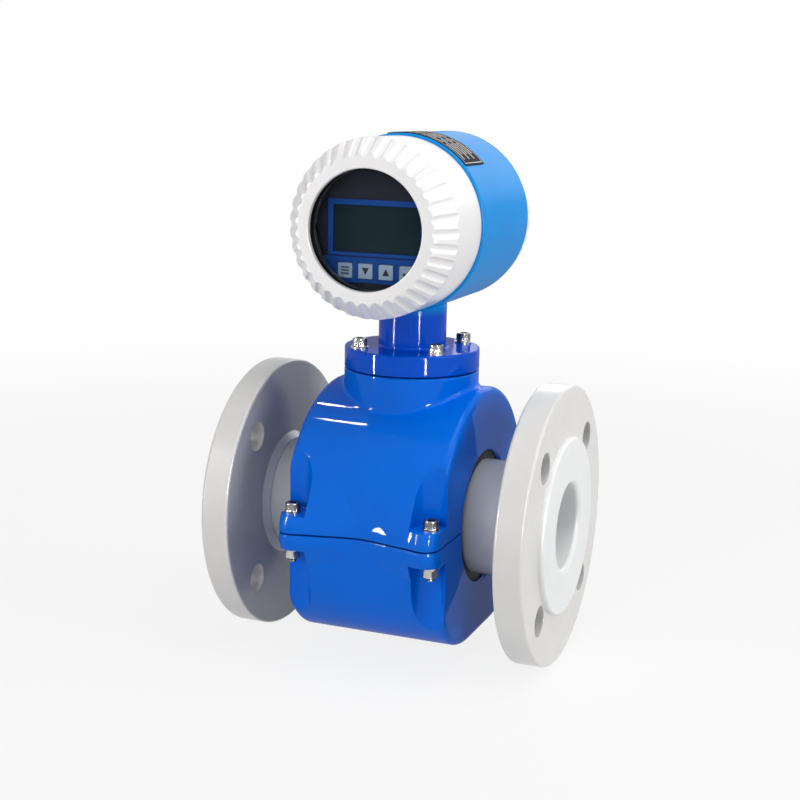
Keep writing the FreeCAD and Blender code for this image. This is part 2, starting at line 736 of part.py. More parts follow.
def head_housing():
    """The head, its neck and the neck flange, cast in one piece."""
    head = cylinder(Y, HEAD_R, HEAD_FRONT, HEAD_REAR, HEAD_AXIS)
    head = rounded(head, HEAD_EDGE_R, Y, (HEAD_FRONT, HEAD_R), (HEAD_REAR, HEAD_R))
    base = cylinder(Z, BOSS_D / 2, NECK_FLANGE_Z, NECK_FLANGE_TOP)
    base = rounded(base, NECK_FLANGE_EDGE_R, Z, (NECK_FLANGE_TOP, BOSS_D / 2))
    neck = cylinder(Z, NECK_D / 2, NECK_FLANGE_Z, HEAD_Z - HEAD_INNER_R)
    base = rounded(base.fuse(neck).removeSplitter(), NECK_FOOT_R, Z, (NECK_FLANGE_TOP, NECK_D / 2))
    solid = base.fuse(head)
    for place in gland_places():
        solid = solid.fuse(cylinder(X, GLAND_PAD_D / 2, -GLAND_PAD_X, -HEAD_R / 2, place))
    pad = cylinder(Z, EARTH_PAD_D / 2, HEAD_INNER_R, HEAD_R + EARTH_PAD_H)
    solid = solid.fuse(earth_screw_pose(pad))
    solid = solid.cut(head_hollows())
    for place in gland_places():
        solid = solid.cut(cylinder(X, GLAND_THREAD_D / 2, -HEAD_R - GLAND_PAD_D, -HEAD_R / 2, place))
    tapped = HEAD_R + EARTH_PAD_H
    solid = solid.cut(earth_screw_pose(cylinder(Z, SCREW_D / 2, tapped - EARTH_SCREW_LENGTH, tapped + 1)))
    for place in neck_screw_places():
        solid = solid.cut(cylinder(Z, SCREW_HOLE_D / 2, NECK_FLANGE_Z - 1, NECK_FLANGE_TOP + 1, place))
    return solid.removeSplitter()


def head_hollows():
    """Both compartments with their threaded mouths, and the bore of the neck."""
    front = cylinder(Y, HEAD_INNER_R, HEAD_FRONT, PARTITION_FRONT, HEAD_AXIS)
    front = front.fuse(cylinder(Y, THREAD_R, HEAD_FRONT - 1, HEAD_FRONT + THREAD_DEPTH, HEAD_AXIS))
    rear = cylinder(Y, HEAD_INNER_R, PARTITION_REAR, HEAD_REAR, HEAD_AXIS)
    rear = rear.fuse(cylinder(Y, THREAD_R, HEAD_REAR - THREAD_DEPTH, HEAD_REAR + 1, HEAD_AXIS))
    bore = cylinder(Z, NECK_BORE_D / 2, NECK_FLANGE_Z - 1, HEAD_Z - HEAD_INNER_R / 2)
    bore = bore.cut(block((-HEAD_R, HEAD_R), (PARTITION_FRONT, HEAD_R), (HEAD_Z - HEAD_INNER_R, HEAD_Z)))
    return Part.makeCompound([front, rear, bore])


def flutes(face):
    """Cutters for the finger flutes along the sloped shoulder; face is the cover's outer end."""
    rise = COVER_R - COVER_FACE_R
    slope = math.atan2(COVER_SHOULDER, rise)
    middle = Vec(0, face + COVER_SHOULDER / 2, HEAD_Z + COVER_R - rise / 2)
    along = Vec(0, math.sin(slope), math.cos(slope))
    outward = Vec(0, -math.cos(slope), math.sin(slope))
    start = middle + outward * (FLUTE_R - FLUTE_DEPTH) - along * (FLUTE_LENGTH / 2)
    cutter = Part.makeCylinder(FLUTE_R, FLUTE_LENGTH, start, along)
    return around(Y, FLUTE_COUNT, cutter, HEAD_AXIS)


def cover_blank(seat, length):
    """A cover's outside, facing -Y, with its threaded skirt and its O-ring groove."""
    face = seat - length
    blank = revolved(Y, [
        (face, 0),
        (face, COVER_FACE_R),
        (face + COVER_SHOULDER, COVER_R),
        (seat, COVER_R),
        (seat, SKIRT_R),
        (seat + COVER_SKIRT_LENGTH, SKIRT_R),
        (seat + COVER_SKIRT_LENGTH, 0),
    ], HEAD_AXIS)
    blank = rounded(blank, COVER_SHOULDER_R, Y, (face, COVER_FACE_R), (face + COVER_SHOULDER, COVER_R))
    blank = rounded(blank, COVER_RIM_R, Y, (seat, COVER_R))
    blank = blank.cut(Part.makeCompound(flutes(face)))
    groove_floor = oring_r() - ORING_SECTION / 2 - ORING_GAP
    groove_end = seat + ORING_SECTION + 2 * ORING_GAP
    return blank.cut(ring(Y, SKIRT_R + 1, groove_floor, seat, groove_end, HEAD_AXIS))


def oring_r():
    """The mean radius of a cover's O-ring, just clear of the housing's bore."""
    return THREAD_R - ORING_GAP - ORING_SECTION / 2


def oring(seat, side):
    """The O-ring at the root of a skirt; side is the direction from the seat into the head."""
    place = HEAD_AXIS + Y * (seat + side * (ORING_SECTION / 2 + ORING_GAP))
    return Part.makeTorus(oring_r(), ORING_SECTION / 2, place, Y)


def front_cover():
    """The front cover, with its window opening and the recess for the glass."""
    skirt_end = FRONT_COVER_SEAT + COVER_SKIRT_LENGTH
    recess_end = GLASS_FRONT + GLASS_T + RETAINER_T
    cover = cover_blank(FRONT_COVER_SEAT, FRONT_COVER_LENGTH)
    cover = cover.cut(cylinder(Y, WINDOW_R, FRONT_COVER_FACE - 1, recess_end, HEAD_AXIS))
    cover = cover.cut(cylinder(Y, GLASS_R, FRONT_COVER_FACE + WINDOW_LIP_T, recess_end, HEAD_AXIS))
    cover = cover.cut(cylinder(Y, COVER_INNER_R, recess_end, skirt_end + 1, HEAD_AXIS))
    return rounded(cover, COVER_LIP_R, Y, (FRONT_COVER_FACE, WINDOW_R))


def rear_cover():
    """The blind cover over the terminals."""
    cover = cover_blank(-REAR_COVER_SEAT, REAR_COVER_LENGTH)
    floor = -REAR_COVER_FACE + REAR_COVER_FACE_T
    cover = cover.cut(cylinder(Y, COVER_FACE_R - REAR_COVER_FACE_T, floor, 0, HEAD_AXIS))
    shoulder = -REAR_COVER_FACE + COVER_SHOULDER
    cover = cover.cut(cylinder(Y, COVER_INNER_R, shoulder, 0, HEAD_AXIS))
    return cover.mirror(Vec(0, 0, 0), Y)


def window_gasket():
    """The flat gasket in front of the glass."""
    low = FRONT_COVER_FACE + WINDOW_LIP_T
    return ring(Y, GLASS_R, WINDOW_R + 0.5, low, low + WINDOW_GASKET_T, HEAD_AXIS)


def window_glass():
    """The toughened glass disc."""
    return cylinder(Y, GLASS_R, GLASS_FRONT, GLASS_FRONT + GLASS_T, HEAD_AXIS)


def glass_retainer():
    """The ring screwed in behind the glass, with two key slots."""
    start = GLASS_FRONT + GLASS_T
    body = ring(Y, GLASS_R, WINDOW_R + RETAINER_GAP, start, start + RETAINER_T, HEAD_AXIS)
    half = RETAINER_T / 2
    slot = block((-GLASS_R, GLASS_R), (start + half, start + RETAINER_T + 1), (HEAD_Z - half, HEAD_Z + half))
    return body.cut(slot)


# ---- display ----

def post_places():
    """The centres of the four posts behind the display panel."""
    spot = Vec(POST_R, 0, 0)
    turns = (POST_ANGLE, 180 - POST_ANGLE, 180 + POST_ANGLE, -POST_ANGLE)
    return [HEAD_AXIS + FreeCAD.Rotation(Y, turn).multVec(spot) for turn in turns]


def key_x(index):
    """The middle of one key, counted from the left."""
    return (index - (len(KEY_NAMES) - 1) / 2) * KEY_PITCH


def key_hole(index, margin, start, end):
    """A square prism round one key, larger by a margin on each side."""
    x = key_x(index)
    z = HEAD_Z + KEY_Z
    wide = KEY_WIDTH / 2 + margin
    tall = KEY_HEIGHT / 2 + margin
    return block((x - wide, x + wide), (start, end), (z - tall, z + tall))


def lcd_window(margin, start, end):
    """A rectangular prism round the glass of the display."""
    half = LCD_WIDTH / 2 + margin
    return block((-half, half), (start, end), (HEAD_Z + LCD_BOTTOM - margin, HEAD_Z + LCD_TOP + margin))


def display_panel():
    """The round black panel with its openings."""
    panel = cylinder(Y, PANEL_R, PANEL_FRONT, PANEL_BACK, HEAD_AXIS)
    panel = panel.cut(lcd_window(0, PANEL_FRONT - 1, PANEL_BACK + 1))
    for index in range(len(KEY_NAMES)):
        panel = panel.cut(key_hole(index, KEY_GAP, PANEL_FRONT - 1, PANEL_BACK + 1))
    return panel


def display_bezel():
    """The frame that stands on the panel round the glass of the display."""
    front = PANEL_FRONT - BEZEL_T
    half = LCD_WIDTH / 2 + BEZEL_BAR
    low = HEAD_Z + LCD_BOTTOM - BEZEL_BOTTOM_BAR
    high = HEAD_Z + LCD_TOP + BEZEL_BAR
    plate = block((-half, half), (front, PANEL_FRONT), (low, high))
    return plate.cut(lcd_window(0, front - 1, PANEL_FRONT + 1))


def key_band():
    """The band round the keys, trimmed to the round panel."""
    front = PANEL_FRONT - KEY_BAND_T
    low = HEAD_Z + KEY_BAND_BOTTOM
    high = HEAD_Z + KEY_BAND_TOP
    strip = block((-PANEL_R, PANEL_R), (front, PANEL_FRONT), (low, high))
    strip = strip.common(cylinder(Y, PANEL_R, front, PANEL_FRONT, HEAD_AXIS))
    for index in range(len(KEY_NAMES)):
        strip = strip.cut(key_hole(index, KEY_GAP, front - 1, PANEL_FRONT + 1))
    return strip


def key(index):
    """A key with the flange that keeps it behind the panel."""
    front = PANEL_FRONT - KEY_BAND_T - KEY_PROUD
    cap = key_hole(index, 0, front, PANEL_BACK + KEY_SEAT_GAP)
    upright = [edge for edge in cap.Edges if edge.BoundBox.YLength > KEY_FLANGE_T]
    cap = cap.makeFillet(KEY_CORNER_R, upright)
    seat = PANEL_BACK + KEY_SEAT_GAP
    return cap.fuse(key_hole(index, KEY_FLANGE, seat, seat + KEY_FLANGE_T)).removeSplitter()


def key_switches():
    """The small switches on the display board, one behind each key."""
    start = PANEL_BACK + KEY_SEAT_GAP + KEY_FLANGE_T + KEY_TRAVEL + KEY_STOP_GAP
    half = SWITCH_WIDTH / 2
    switches = []
    for index in range(len(KEY_NAMES)):
        x = key_x(index)
        z = HEAD_Z + KEY_Z
        plunger = start + SWITCH_PLUNGER
        body = block((x - half, x + half), (plunger, DISPLAY_BOARD_Y), (z - half, z + half))
        button = cylinder(Y, half / 2, start, DISPLAY_BOARD_Y, Vec(x, 0, z))
        switches.append(body.fuse(button).removeSplitter())
    return Part.makeCompound(switches)


def lcd_module():
    """The liquid crystal module, seated in the panel's opening and on the display board."""
    front = PANEL_FRONT + LCD_RECESS
    glass = lcd_window(0, front, PANEL_BACK)
    return glass.fuse(lcd_window(LCD_FRAME, PANEL_BACK, DISPLAY_BOARD_Y)).removeSplitter()


def board(front):
    """A round circuit board with holes for the posts."""
    disc = cylinder(Y, COVER_INNER_R - BOARD_EDGE_GAP, front, front + BOARD_T, HEAD_AXIS)
    for place in post_places():
        hole_r = POST_D / 2 + POST_HOLE_GAP
        disc = disc.cut(cylinder(Y, hole_r, front - 1, front + BOARD_T + 1, place))
    return disc


def panel_posts():
    """The posts that carry the panel and both boards from the partition."""
    return Part.makeCompound([
        cylinder(Y, POST_D / 2, PANEL_BACK, PARTITION_FRONT, place) for place in post_places()
    ])


def on_main_board(size, x, z):
    """A box of a given size standing on the front of the main board."""
    wide, deep, tall = size
    return block(
        (x - wide / 2, x + wide / 2),
        (MAIN_BOARD_Y - deep, MAIN_BOARD_Y),
        (HEAD_Z + z - tall / 2, HEAD_Z + z + tall / 2),
    )


def capacitors():
    """Three capacitors in a row on the main board."""
    cans = []
    for index in (-1, 0, 1):
        spot = Vec(index * CAPACITOR_PITCH, 0, HEAD_Z + CAPACITOR_Z)
        can = cylinder(Y, CAPACITOR_D / 2, MAIN_BOARD_Y - CAPACITOR_H, MAIN_BOARD_Y, spot)
        cans.append(rounded(can, CAPACITOR_EDGE_R, Y, (MAIN_BOARD_Y - CAPACITOR_H, CAPACITOR_D / 2)))
    return Part.makeCompound(cans)


def terminal_x(index):
    """The middle of one terminal, counted from the left."""
    pitch = TERMINAL_BLOCK[0] / TERMINAL_COUNT
    return (index - (TERMINAL_COUNT - 1) / 2) * pitch


def terminal_block():
    """The terminal block on the rear of the partition, with a well for each screw."""
    wide, deep, tall = TERMINAL_BLOCK
    end = PARTITION_REAR + deep
    body = block((-wide / 2, wide / 2), (PARTITION_REAR, end), (HEAD_Z - tall / 2, HEAD_Z + tall / 2))
    for index in range(TERMINAL_COUNT):
        spot = Vec(terminal_x(index), 0, HEAD_Z)
        body = body.cut(cylinder(Y, TERMINAL_SCREW_D / 2, end - TERMINAL_SCREW_DEPTH, end + 1, spot))
    return body


def terminal_screws():
    """The slotted screws of the terminals."""
    start = PARTITION_REAR + TERMINAL_BLOCK[1] - TERMINAL_SCREW_DEPTH
    screws = []
    for index in range(TERMINAL_COUNT):
        spot = Vec(terminal_x(index), 0, HEAD_Z)
        screw = cylinder(Y, TERMINAL_SCREW_D / 2, start, start + TERMINAL_SCREW_DEPTH - 1, spot)
        slot = block(
            (spot.x - TERMINAL_SCREW_D, spot.x + TERMINAL_SCREW_D),
            (start + TERMINAL_SCREW_DEPTH - 2, start + TERMINAL_SCREW_DEPTH),
            (HEAD_Z - 0.4, HEAD_Z + 0.4),
        )
        screws.append(screw.cut(slot))
    return Part.makeCompound(screws)


# ---- small outside pieces ----

def gland_body(place):
    """A gland body: thread in the pad, hexagon outside, and a neck for the nut."""
    pad = -GLAND_PAD_X
    body = cylinder(X, GLAND_THREAD_D / 2, pad, pad + GLAND_THREAD_L, place)
    body = body.fuse(hexagon(X, GLAND_HEX_AF, pad - GLAND_HEX_T, pad, place))
    body = body.fuse(cylinder(X, GLAND_NECK_D / 2, GLAND_NECK_END, pad, place))
    body = body.cut(cylinder(X, GLAND_SEAL_D / 2, GLAND_NECK_END - 1, GLAND_NECK_END + GLAND_SEAL_T, place))
    return body.cut(cylinder(X, GLAND_MOUTH_D / 2, GLAND_NECK_END - 1, pad + GLAND_THREAD_L + 1, place))


def gland_nut(place):
    """A domed gland nut with a ribbed grip."""
    start = -GLAND_PAD_X - GLAND_HEX_T
    end = start - GLAND_NUT_T
    nut = cylinder(X, GLAND_NUT_D / 2, end, start, place)
    nut = rounded(nut, 2.0, X, (end, GLAND_NUT_D / 2))
    nut = nut.common(hexagon(X, GLAND_NUT_AF, end, start, place))
    nut = nut.cut(cylinder(X, GLAND_NECK_D / 2, GLAND_NECK_END, start + 1, place))
    return nut.cut(cylinder(X, GLAND_MOUTH_D / 2, end - 1, start, place))


def gland_seal(place):
    """The rubber sleeve that grips a cable."""
    return ring(X, GLAND_SEAL_D / 2, GLAND_CABLE_D / 2, GLAND_NECK_END, GLAND_NECK_END + GLAND_SEAL_T, place)


def nameplate():
    """The curved plate on top of the head."""
    start = HEAD_FRONT + PLATE_FRONT_MARGIN
    sleeve = ring(Y, HEAD_R + PLATE_T, HEAD_R, start, PLATE_REAR, HEAD_AXIS)
    reach = 2 * HEAD_R
    corners = [Vec(0, start - 1, HEAD_Z)]
    for angle in (PLATE_HIGH_ANGLE, (PLATE_HIGH_ANGLE + PLATE_LOW_ANGLE) / 2, PLATE_LOW_ANGLE):
        turn = math.radians(angle)
        corners.append(Vec(reach * math.sin(turn), start - 1, HEAD_Z + reach * math.cos(turn)))
    wedge = Part.Face(Part.makePolygon(corners + corners[:1])).extrude(Y * (PLATE_REAR - start + 2))
    return sleeve.common(wedge)


def earth_screw():
    """The outside earth screw on its pad."""
    seat = HEAD_R + EARTH_PAD_H
    return earth_screw_pose(cap_screw(seat + WASHER_T, EARTH_SCREW_LENGTH, Vec(0, 0, 0)))


def earth_washer():
    """The washer under the earth screw."""
    return earth_screw_pose(washer(HEAD_R + EARTH_PAD_H, Vec(0, 0, 0)))


# ---- assembly ----

def measuring_nodes():
    """The lined tube, its electrodes and its coils."""
    core = pole_core()
    winding = coil()
    return {
        "measuring_tube": measuring_tube(),
        "inlet_flange": flange(-1),
        "outlet_flange": flange(1),
        "liner": liner(),
        "electrodes": both_sides(electrode()),
        "electrode_bushes": both_sides(electrode_bush()),
        "electrode_nuts": both_sides(electrode_nut()),
        "pole_core_upper": core,
        "pole_core_lower": core.mirror(Vec(0, 0, 0), Z),
        "coil_upper": winding,
        "coil_lower": winding.mirror(Vec(0, 0, 0), Z),
        "return_yoke": return_yoke(),
    }


def housing_nodes():
    """The clamped housing and the neck joint, with their fasteners."""
    clamps = clamp_places()
    necks = neck_screw_places()
    nut_top = -LUG_T - WASHER_T - LOCK_WASHER_T
    return {
        "housing_upper": housing_upper(),
        "housing_lower": housing_lower(),
        "housing_gasket": housing_gasket(),
        "tube_seals": tube_seals(),
        "clamp_screws": Part.makeCompound(
            [cap_screw(LUG_T + WASHER_T, CLAMP_SCREW_LENGTH, place) for place in clamps]),
        "clamp_washers": Part.makeCompound(
            [washer(low, place) for place in clamps for low in (LUG_T, -LUG_T - WASHER_T)]),
        "clamp_lock_washers": Part.makeCompound([lock_washer(nut_top, place) for place in clamps]),
        "clamp_nuts": Part.makeCompound([hex_nut(nut_top, place) for place in clamps]),
        "neck_gasket": neck_gasket(),
        "neck_grommet": neck_grommet(),
        "signal_cable": cylinder(Z, CABLE_D / 2, CABLE_LOW, CABLE_HIGH),
        "neck_screws": Part.makeCompound(
            [cap_screw(NECK_FLANGE_TOP + WASHER_T, NECK_SCREW_LENGTH, place) for place in necks]),
        "neck_washers": Part.makeCompound([washer(NECK_FLANGE_TOP, place) for place in necks]),
    }


def head_nodes():
    """The converter head with its covers, window and outside fittings."""
    glands = gland_places()
    return {
        "head_housing": head_housing(),
        "front_cover": front_cover(),
        "front_seal": oring(FRONT_COVER_SEAT, 1),
        "rear_cover": rear_cover(),
        "rear_seal": oring(REAR_COVER_SEAT, -1),
        "window_gasket": window_gasket(),
        "window_glass": window_glass(),
        "glass_retainer": glass_retainer(),
        "gland_bodies": Part.makeCompound([gland_body(place) for place in glands]),
        "gland_nuts": Part.makeCompound([gland_nut(place) for place in glands]),
        "gland_seals": Part.makeCompound([gland_seal(place) for place in glands]),
        "nameplate": nameplate(),
        "earth_screw": earth_screw(),
        "earth_washer": earth_washer(),
    }


def display_nodes():
    """The display stack, the main board and the terminals."""
    nodes = {
        "display_panel": display_panel(),
        "display_bezel": display_bezel(),
        "key_band": key_band(),
        "key_switches": key_switches(),
        "lcd_module": lcd_module(),
        "display_board": board(DISPLAY_BOARD_Y),
        "panel_posts": panel_posts(),
        "main_board": board(MAIN_BOARD_Y),
        "transformer": on_main_board(TRANSFORMER, *TRANSFORMER_AT),
        "relay": on_main_board(RELAY, *RELAY_AT),
        "capacitors": capacitors(),
        "terminal_block": terminal_block(),
        "terminal_screws": terminal_screws(),
    }
    for index, name in enumerate(KEY_NAMES):
        nodes[name] = key(index)
    return nodes


def main():
    """Builds every node and writes it as a STEP file."""
    os.makedirs("parts", exist_ok=True)
    nodes = {}
    for group in (measuring_nodes, housing_nodes, head_nodes, display_nodes):
        nodes.update(group())
    for name, shape in nodes.items():
        shape.exportStep(os.path.join("parts", name + ".step"))
        print(name, "solids", len(shape.Solids), "valid", shape.isValid(), "volume", round(shape.Volume, 1))


main()
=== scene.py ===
import json
import math

import bmesh
import bpy
from mathutils import Matrix, Vector


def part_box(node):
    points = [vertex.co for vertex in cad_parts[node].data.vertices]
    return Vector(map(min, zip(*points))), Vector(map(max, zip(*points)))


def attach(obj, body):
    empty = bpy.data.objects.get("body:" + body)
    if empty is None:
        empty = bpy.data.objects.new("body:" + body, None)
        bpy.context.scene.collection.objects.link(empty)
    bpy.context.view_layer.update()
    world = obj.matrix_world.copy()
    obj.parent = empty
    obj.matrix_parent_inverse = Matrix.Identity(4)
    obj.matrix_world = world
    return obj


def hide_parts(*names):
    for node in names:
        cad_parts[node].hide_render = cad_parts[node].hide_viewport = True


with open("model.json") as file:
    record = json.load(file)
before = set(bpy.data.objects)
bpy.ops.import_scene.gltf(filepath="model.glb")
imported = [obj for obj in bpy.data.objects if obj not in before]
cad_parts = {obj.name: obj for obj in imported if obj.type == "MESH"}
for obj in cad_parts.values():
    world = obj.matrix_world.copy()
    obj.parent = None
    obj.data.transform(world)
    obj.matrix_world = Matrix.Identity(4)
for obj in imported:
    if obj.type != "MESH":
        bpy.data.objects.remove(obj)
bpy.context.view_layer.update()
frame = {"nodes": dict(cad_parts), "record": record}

MM = 0.001
UP = Vector((0, 0, 1))
NODES = frame["nodes"]

# Camera: the photograph's viewing angle, in metres, degrees and millimetres of lens.
CAMERA_AT = Vector((0.3093, -0.8020, 0.2429))
CAMERA_AZIMUTH = 21.53
CAMERA_ELEVATION = 11.67
CAMERA_ROLL = 1.17
CAMERA_LENS = 66.13
CAMERA_SENSOR = 36
CAMERA_CLIP = 0.01

# Socket cap screws: sizes as in the part's source, with the knurls and threads it leaves out.
SCREW_HEAD_D = 8.5 * MM
SCREW_HEAD_H = 5.0 * MM
KNURLS = 40
KNURL_STEPS = 4
KNURL_DEPTH = 0.16 * MM
SOCKET_AF = 4.0 * MM
SOCKET_DEPTH = 3.0 * MM
SOCKET_TIP_R = 0.2 * MM
SHANK_D = 5.0 * MM
SHANK_STEPS = 32
THREAD_PITCH = 0.8 * MM
THREAD_HEIGHT = 0.35 * MM
ROWS_PER_PITCH = 4
CHAMFER_ROWS = 3
CHAMFER_STEP = 0.1 * MM

# A screw head's outside and socket in shares: of the radius, the height and the knurls' depth.
HEAD_SIDE = (
    (0.92, 0.0, 0.0),
    (1.0, 0.04, 0.0),
    (1.0, 0.10, 1.0),
    (1.0, 0.78, 1.0),
    (1.0, 0.86, 0.0),
    (0.975, 0.95, 0.0),
    (0.91, 1.0, 0.0),
)
HEAD_SOCKET = (
    (1.12, 1.0),
    (1.0, 0.98),
    (1.0, 0.98 - SOCKET_DEPTH / SCREW_HEAD_H),
    (0.0, 0.90 - SOCKET_DEPTH / SCREW_HEAD_H),
)

# Key symbols: outlines of (x, z) points in millimetres round a key's middle, printed a hair proud.
ARROW_UP = ((-2.1, -1.9), (2.1, -1.9), (0.0, 2.0))
ARROW_DOWN = tuple((x, -z) for x, z in ARROW_UP)
ARROW_LEFT = ((-2.5, -0.55), (-0.9, -1.75), (-0.9, 0.65))
INK_RISE = 0.02 * MM
INK_DEPTH = 0.05 * MM

# Nameplate: a border and rows of rules, each row broken into fields by shares of its length.
PLATE_MARGIN = 1.2 * MM
PLATE_BORDER = 0.5 * MM
PLATE_RULE = 1.3 * MM
PLATE_RISE = 0.015 * MM
PLATE_SINK = 0.1 * MM
PLATE_ARC_STEP = 0.04
PLATE_ROWS = 7
PLATE_FIELDS = (
    ((0.06, 0.50), (0.56, 0.86)),
    ((0.06, 0.30), (0.36, 0.62), (0.66, 0.94)),
)

# Meshes: edges sharper than this stay sharp, and vertices closer than these count as one.
SHARP_FROM = math.radians(30)
MERGE_DISTANCE = 1e-7
ISLAND_DISTANCE = 1e-6

# Paint: above a height the head is a lighter, duller blue than its neck and the body. The head's
# lighter blue is painted light falling on its top, and the neck's darker blue is painted shade
# under the head.
BODY_BLUE = (0.0, 0.145, 0.74)
SHADED_NECK_BLUE = (0.0, 0.083, 0.60)
LIT_HEAD_BLUE = (0.0, 0.28, 0.76)
LIT_HEAD_FROM_Z = 121 * MM
LIT_HEAD_EDGE = 4 * MM
SEAM_BLUE = (0.0, 0.025, 0.16)
COAT_IOR = 1.40
GLOSSY_COAT = 0.03
SATIN_COAT = 0.30

# The flanges' fronts and rims are pale, and the tube and the flanges' backs darker: painted shade
# in the gaps between the flanges and the body.
PALE_GREY = (0.74, 0.73, 0.71)
SHADED_GREY = (0.42, 0.43, 0.455)
UNSHADED_FROM_X = 80.5 * MM
UNSHADED_EDGE = 0.3 * MM

# The covers' thread lines, over the stretch of Y from one cover's skirt to the other's.
COVER_PITCH = 2.0 * MM
COVER_THREAD_DEPTH = 0.6 * MM
SKIRTS_MIDDLE_Y = 16.8 * MM
SKIRTS_REACH = 41.4 * MM

# An index this close to air's keeps rare mirrored rays from speckling the dark panel.
GLASS_IOR = 1.001

# Plain materials: how far steel leans from blue, and how far a moulding's pale patches go.
STEEL_BLUE_SHARE = 0.97
PALER_BY = 1.18
PALER_AT_LEAST = 0.004

# Shader nodes: the positions of a noise's dark and light, a bevel's rays, and the colour
# sockets of a Mix node.
PATCH_DARK = 0.3
PATCH_LIGHT = 0.7
BEVEL_SAMPLES = 6
MIX_A = 6
MIX_B = 7
MIX_RESULT = 2

# Light: the world's strength, the point that the lamps face, then each lamp's name, place, size,
# power and kind. "soft" lamps light the colours only, "mirrored" ones show in gloss only, and
# "both" do both.
WORLD_LIGHT = 0.18
LAMPS_AIM = Vector((0, 0, 0.08))
LAMPS = (
    ("overhead", (0.45, -0.10, 1.35), (1.2, 0.9), 9.5, "both"),
    ("front_fill", (-0.15, -1.50, 0.42), (0.9, 0.9), 10.5, "soft"),
    ("right_side", (1.35, 0.0, 0.55), (0.7, 0.7), 8.3, "both"),
    ("left_strip", (-0.52, -0.53, 0.20), (0.04, 0.52), 9.0, "mirrored"),
    ("right_strip", (0.53, -0.55, 0.20), (0.04, 0.52), 9.0, "mirrored"),
    ("tube_middle", (-0.50, -0.09, 1.27), (0.04, 0.04), 0.8, "mirrored"),
    ("tube_rear", (-0.52, 0.30, 1.22), (0.04, 0.04), 0.8, "mirrored"),
    ("rear_panel", (0.0, 1.40, 0.60), (1.0, 0.60), 4.0, "mirrored"),
)

# Floor: its size, its gap under the flanges, and the near and far distance between which its
# share of plain white grows, then that share at each.
FLOOR_SIZE = 6
FLOOR_GAP = 0.5 * MM
FLOOR_FADE = {"From Min": 0.35, "From Max": 1.3, "To Min": 0.85, "To Max": 1.0}


# ---- materials: helpers ----

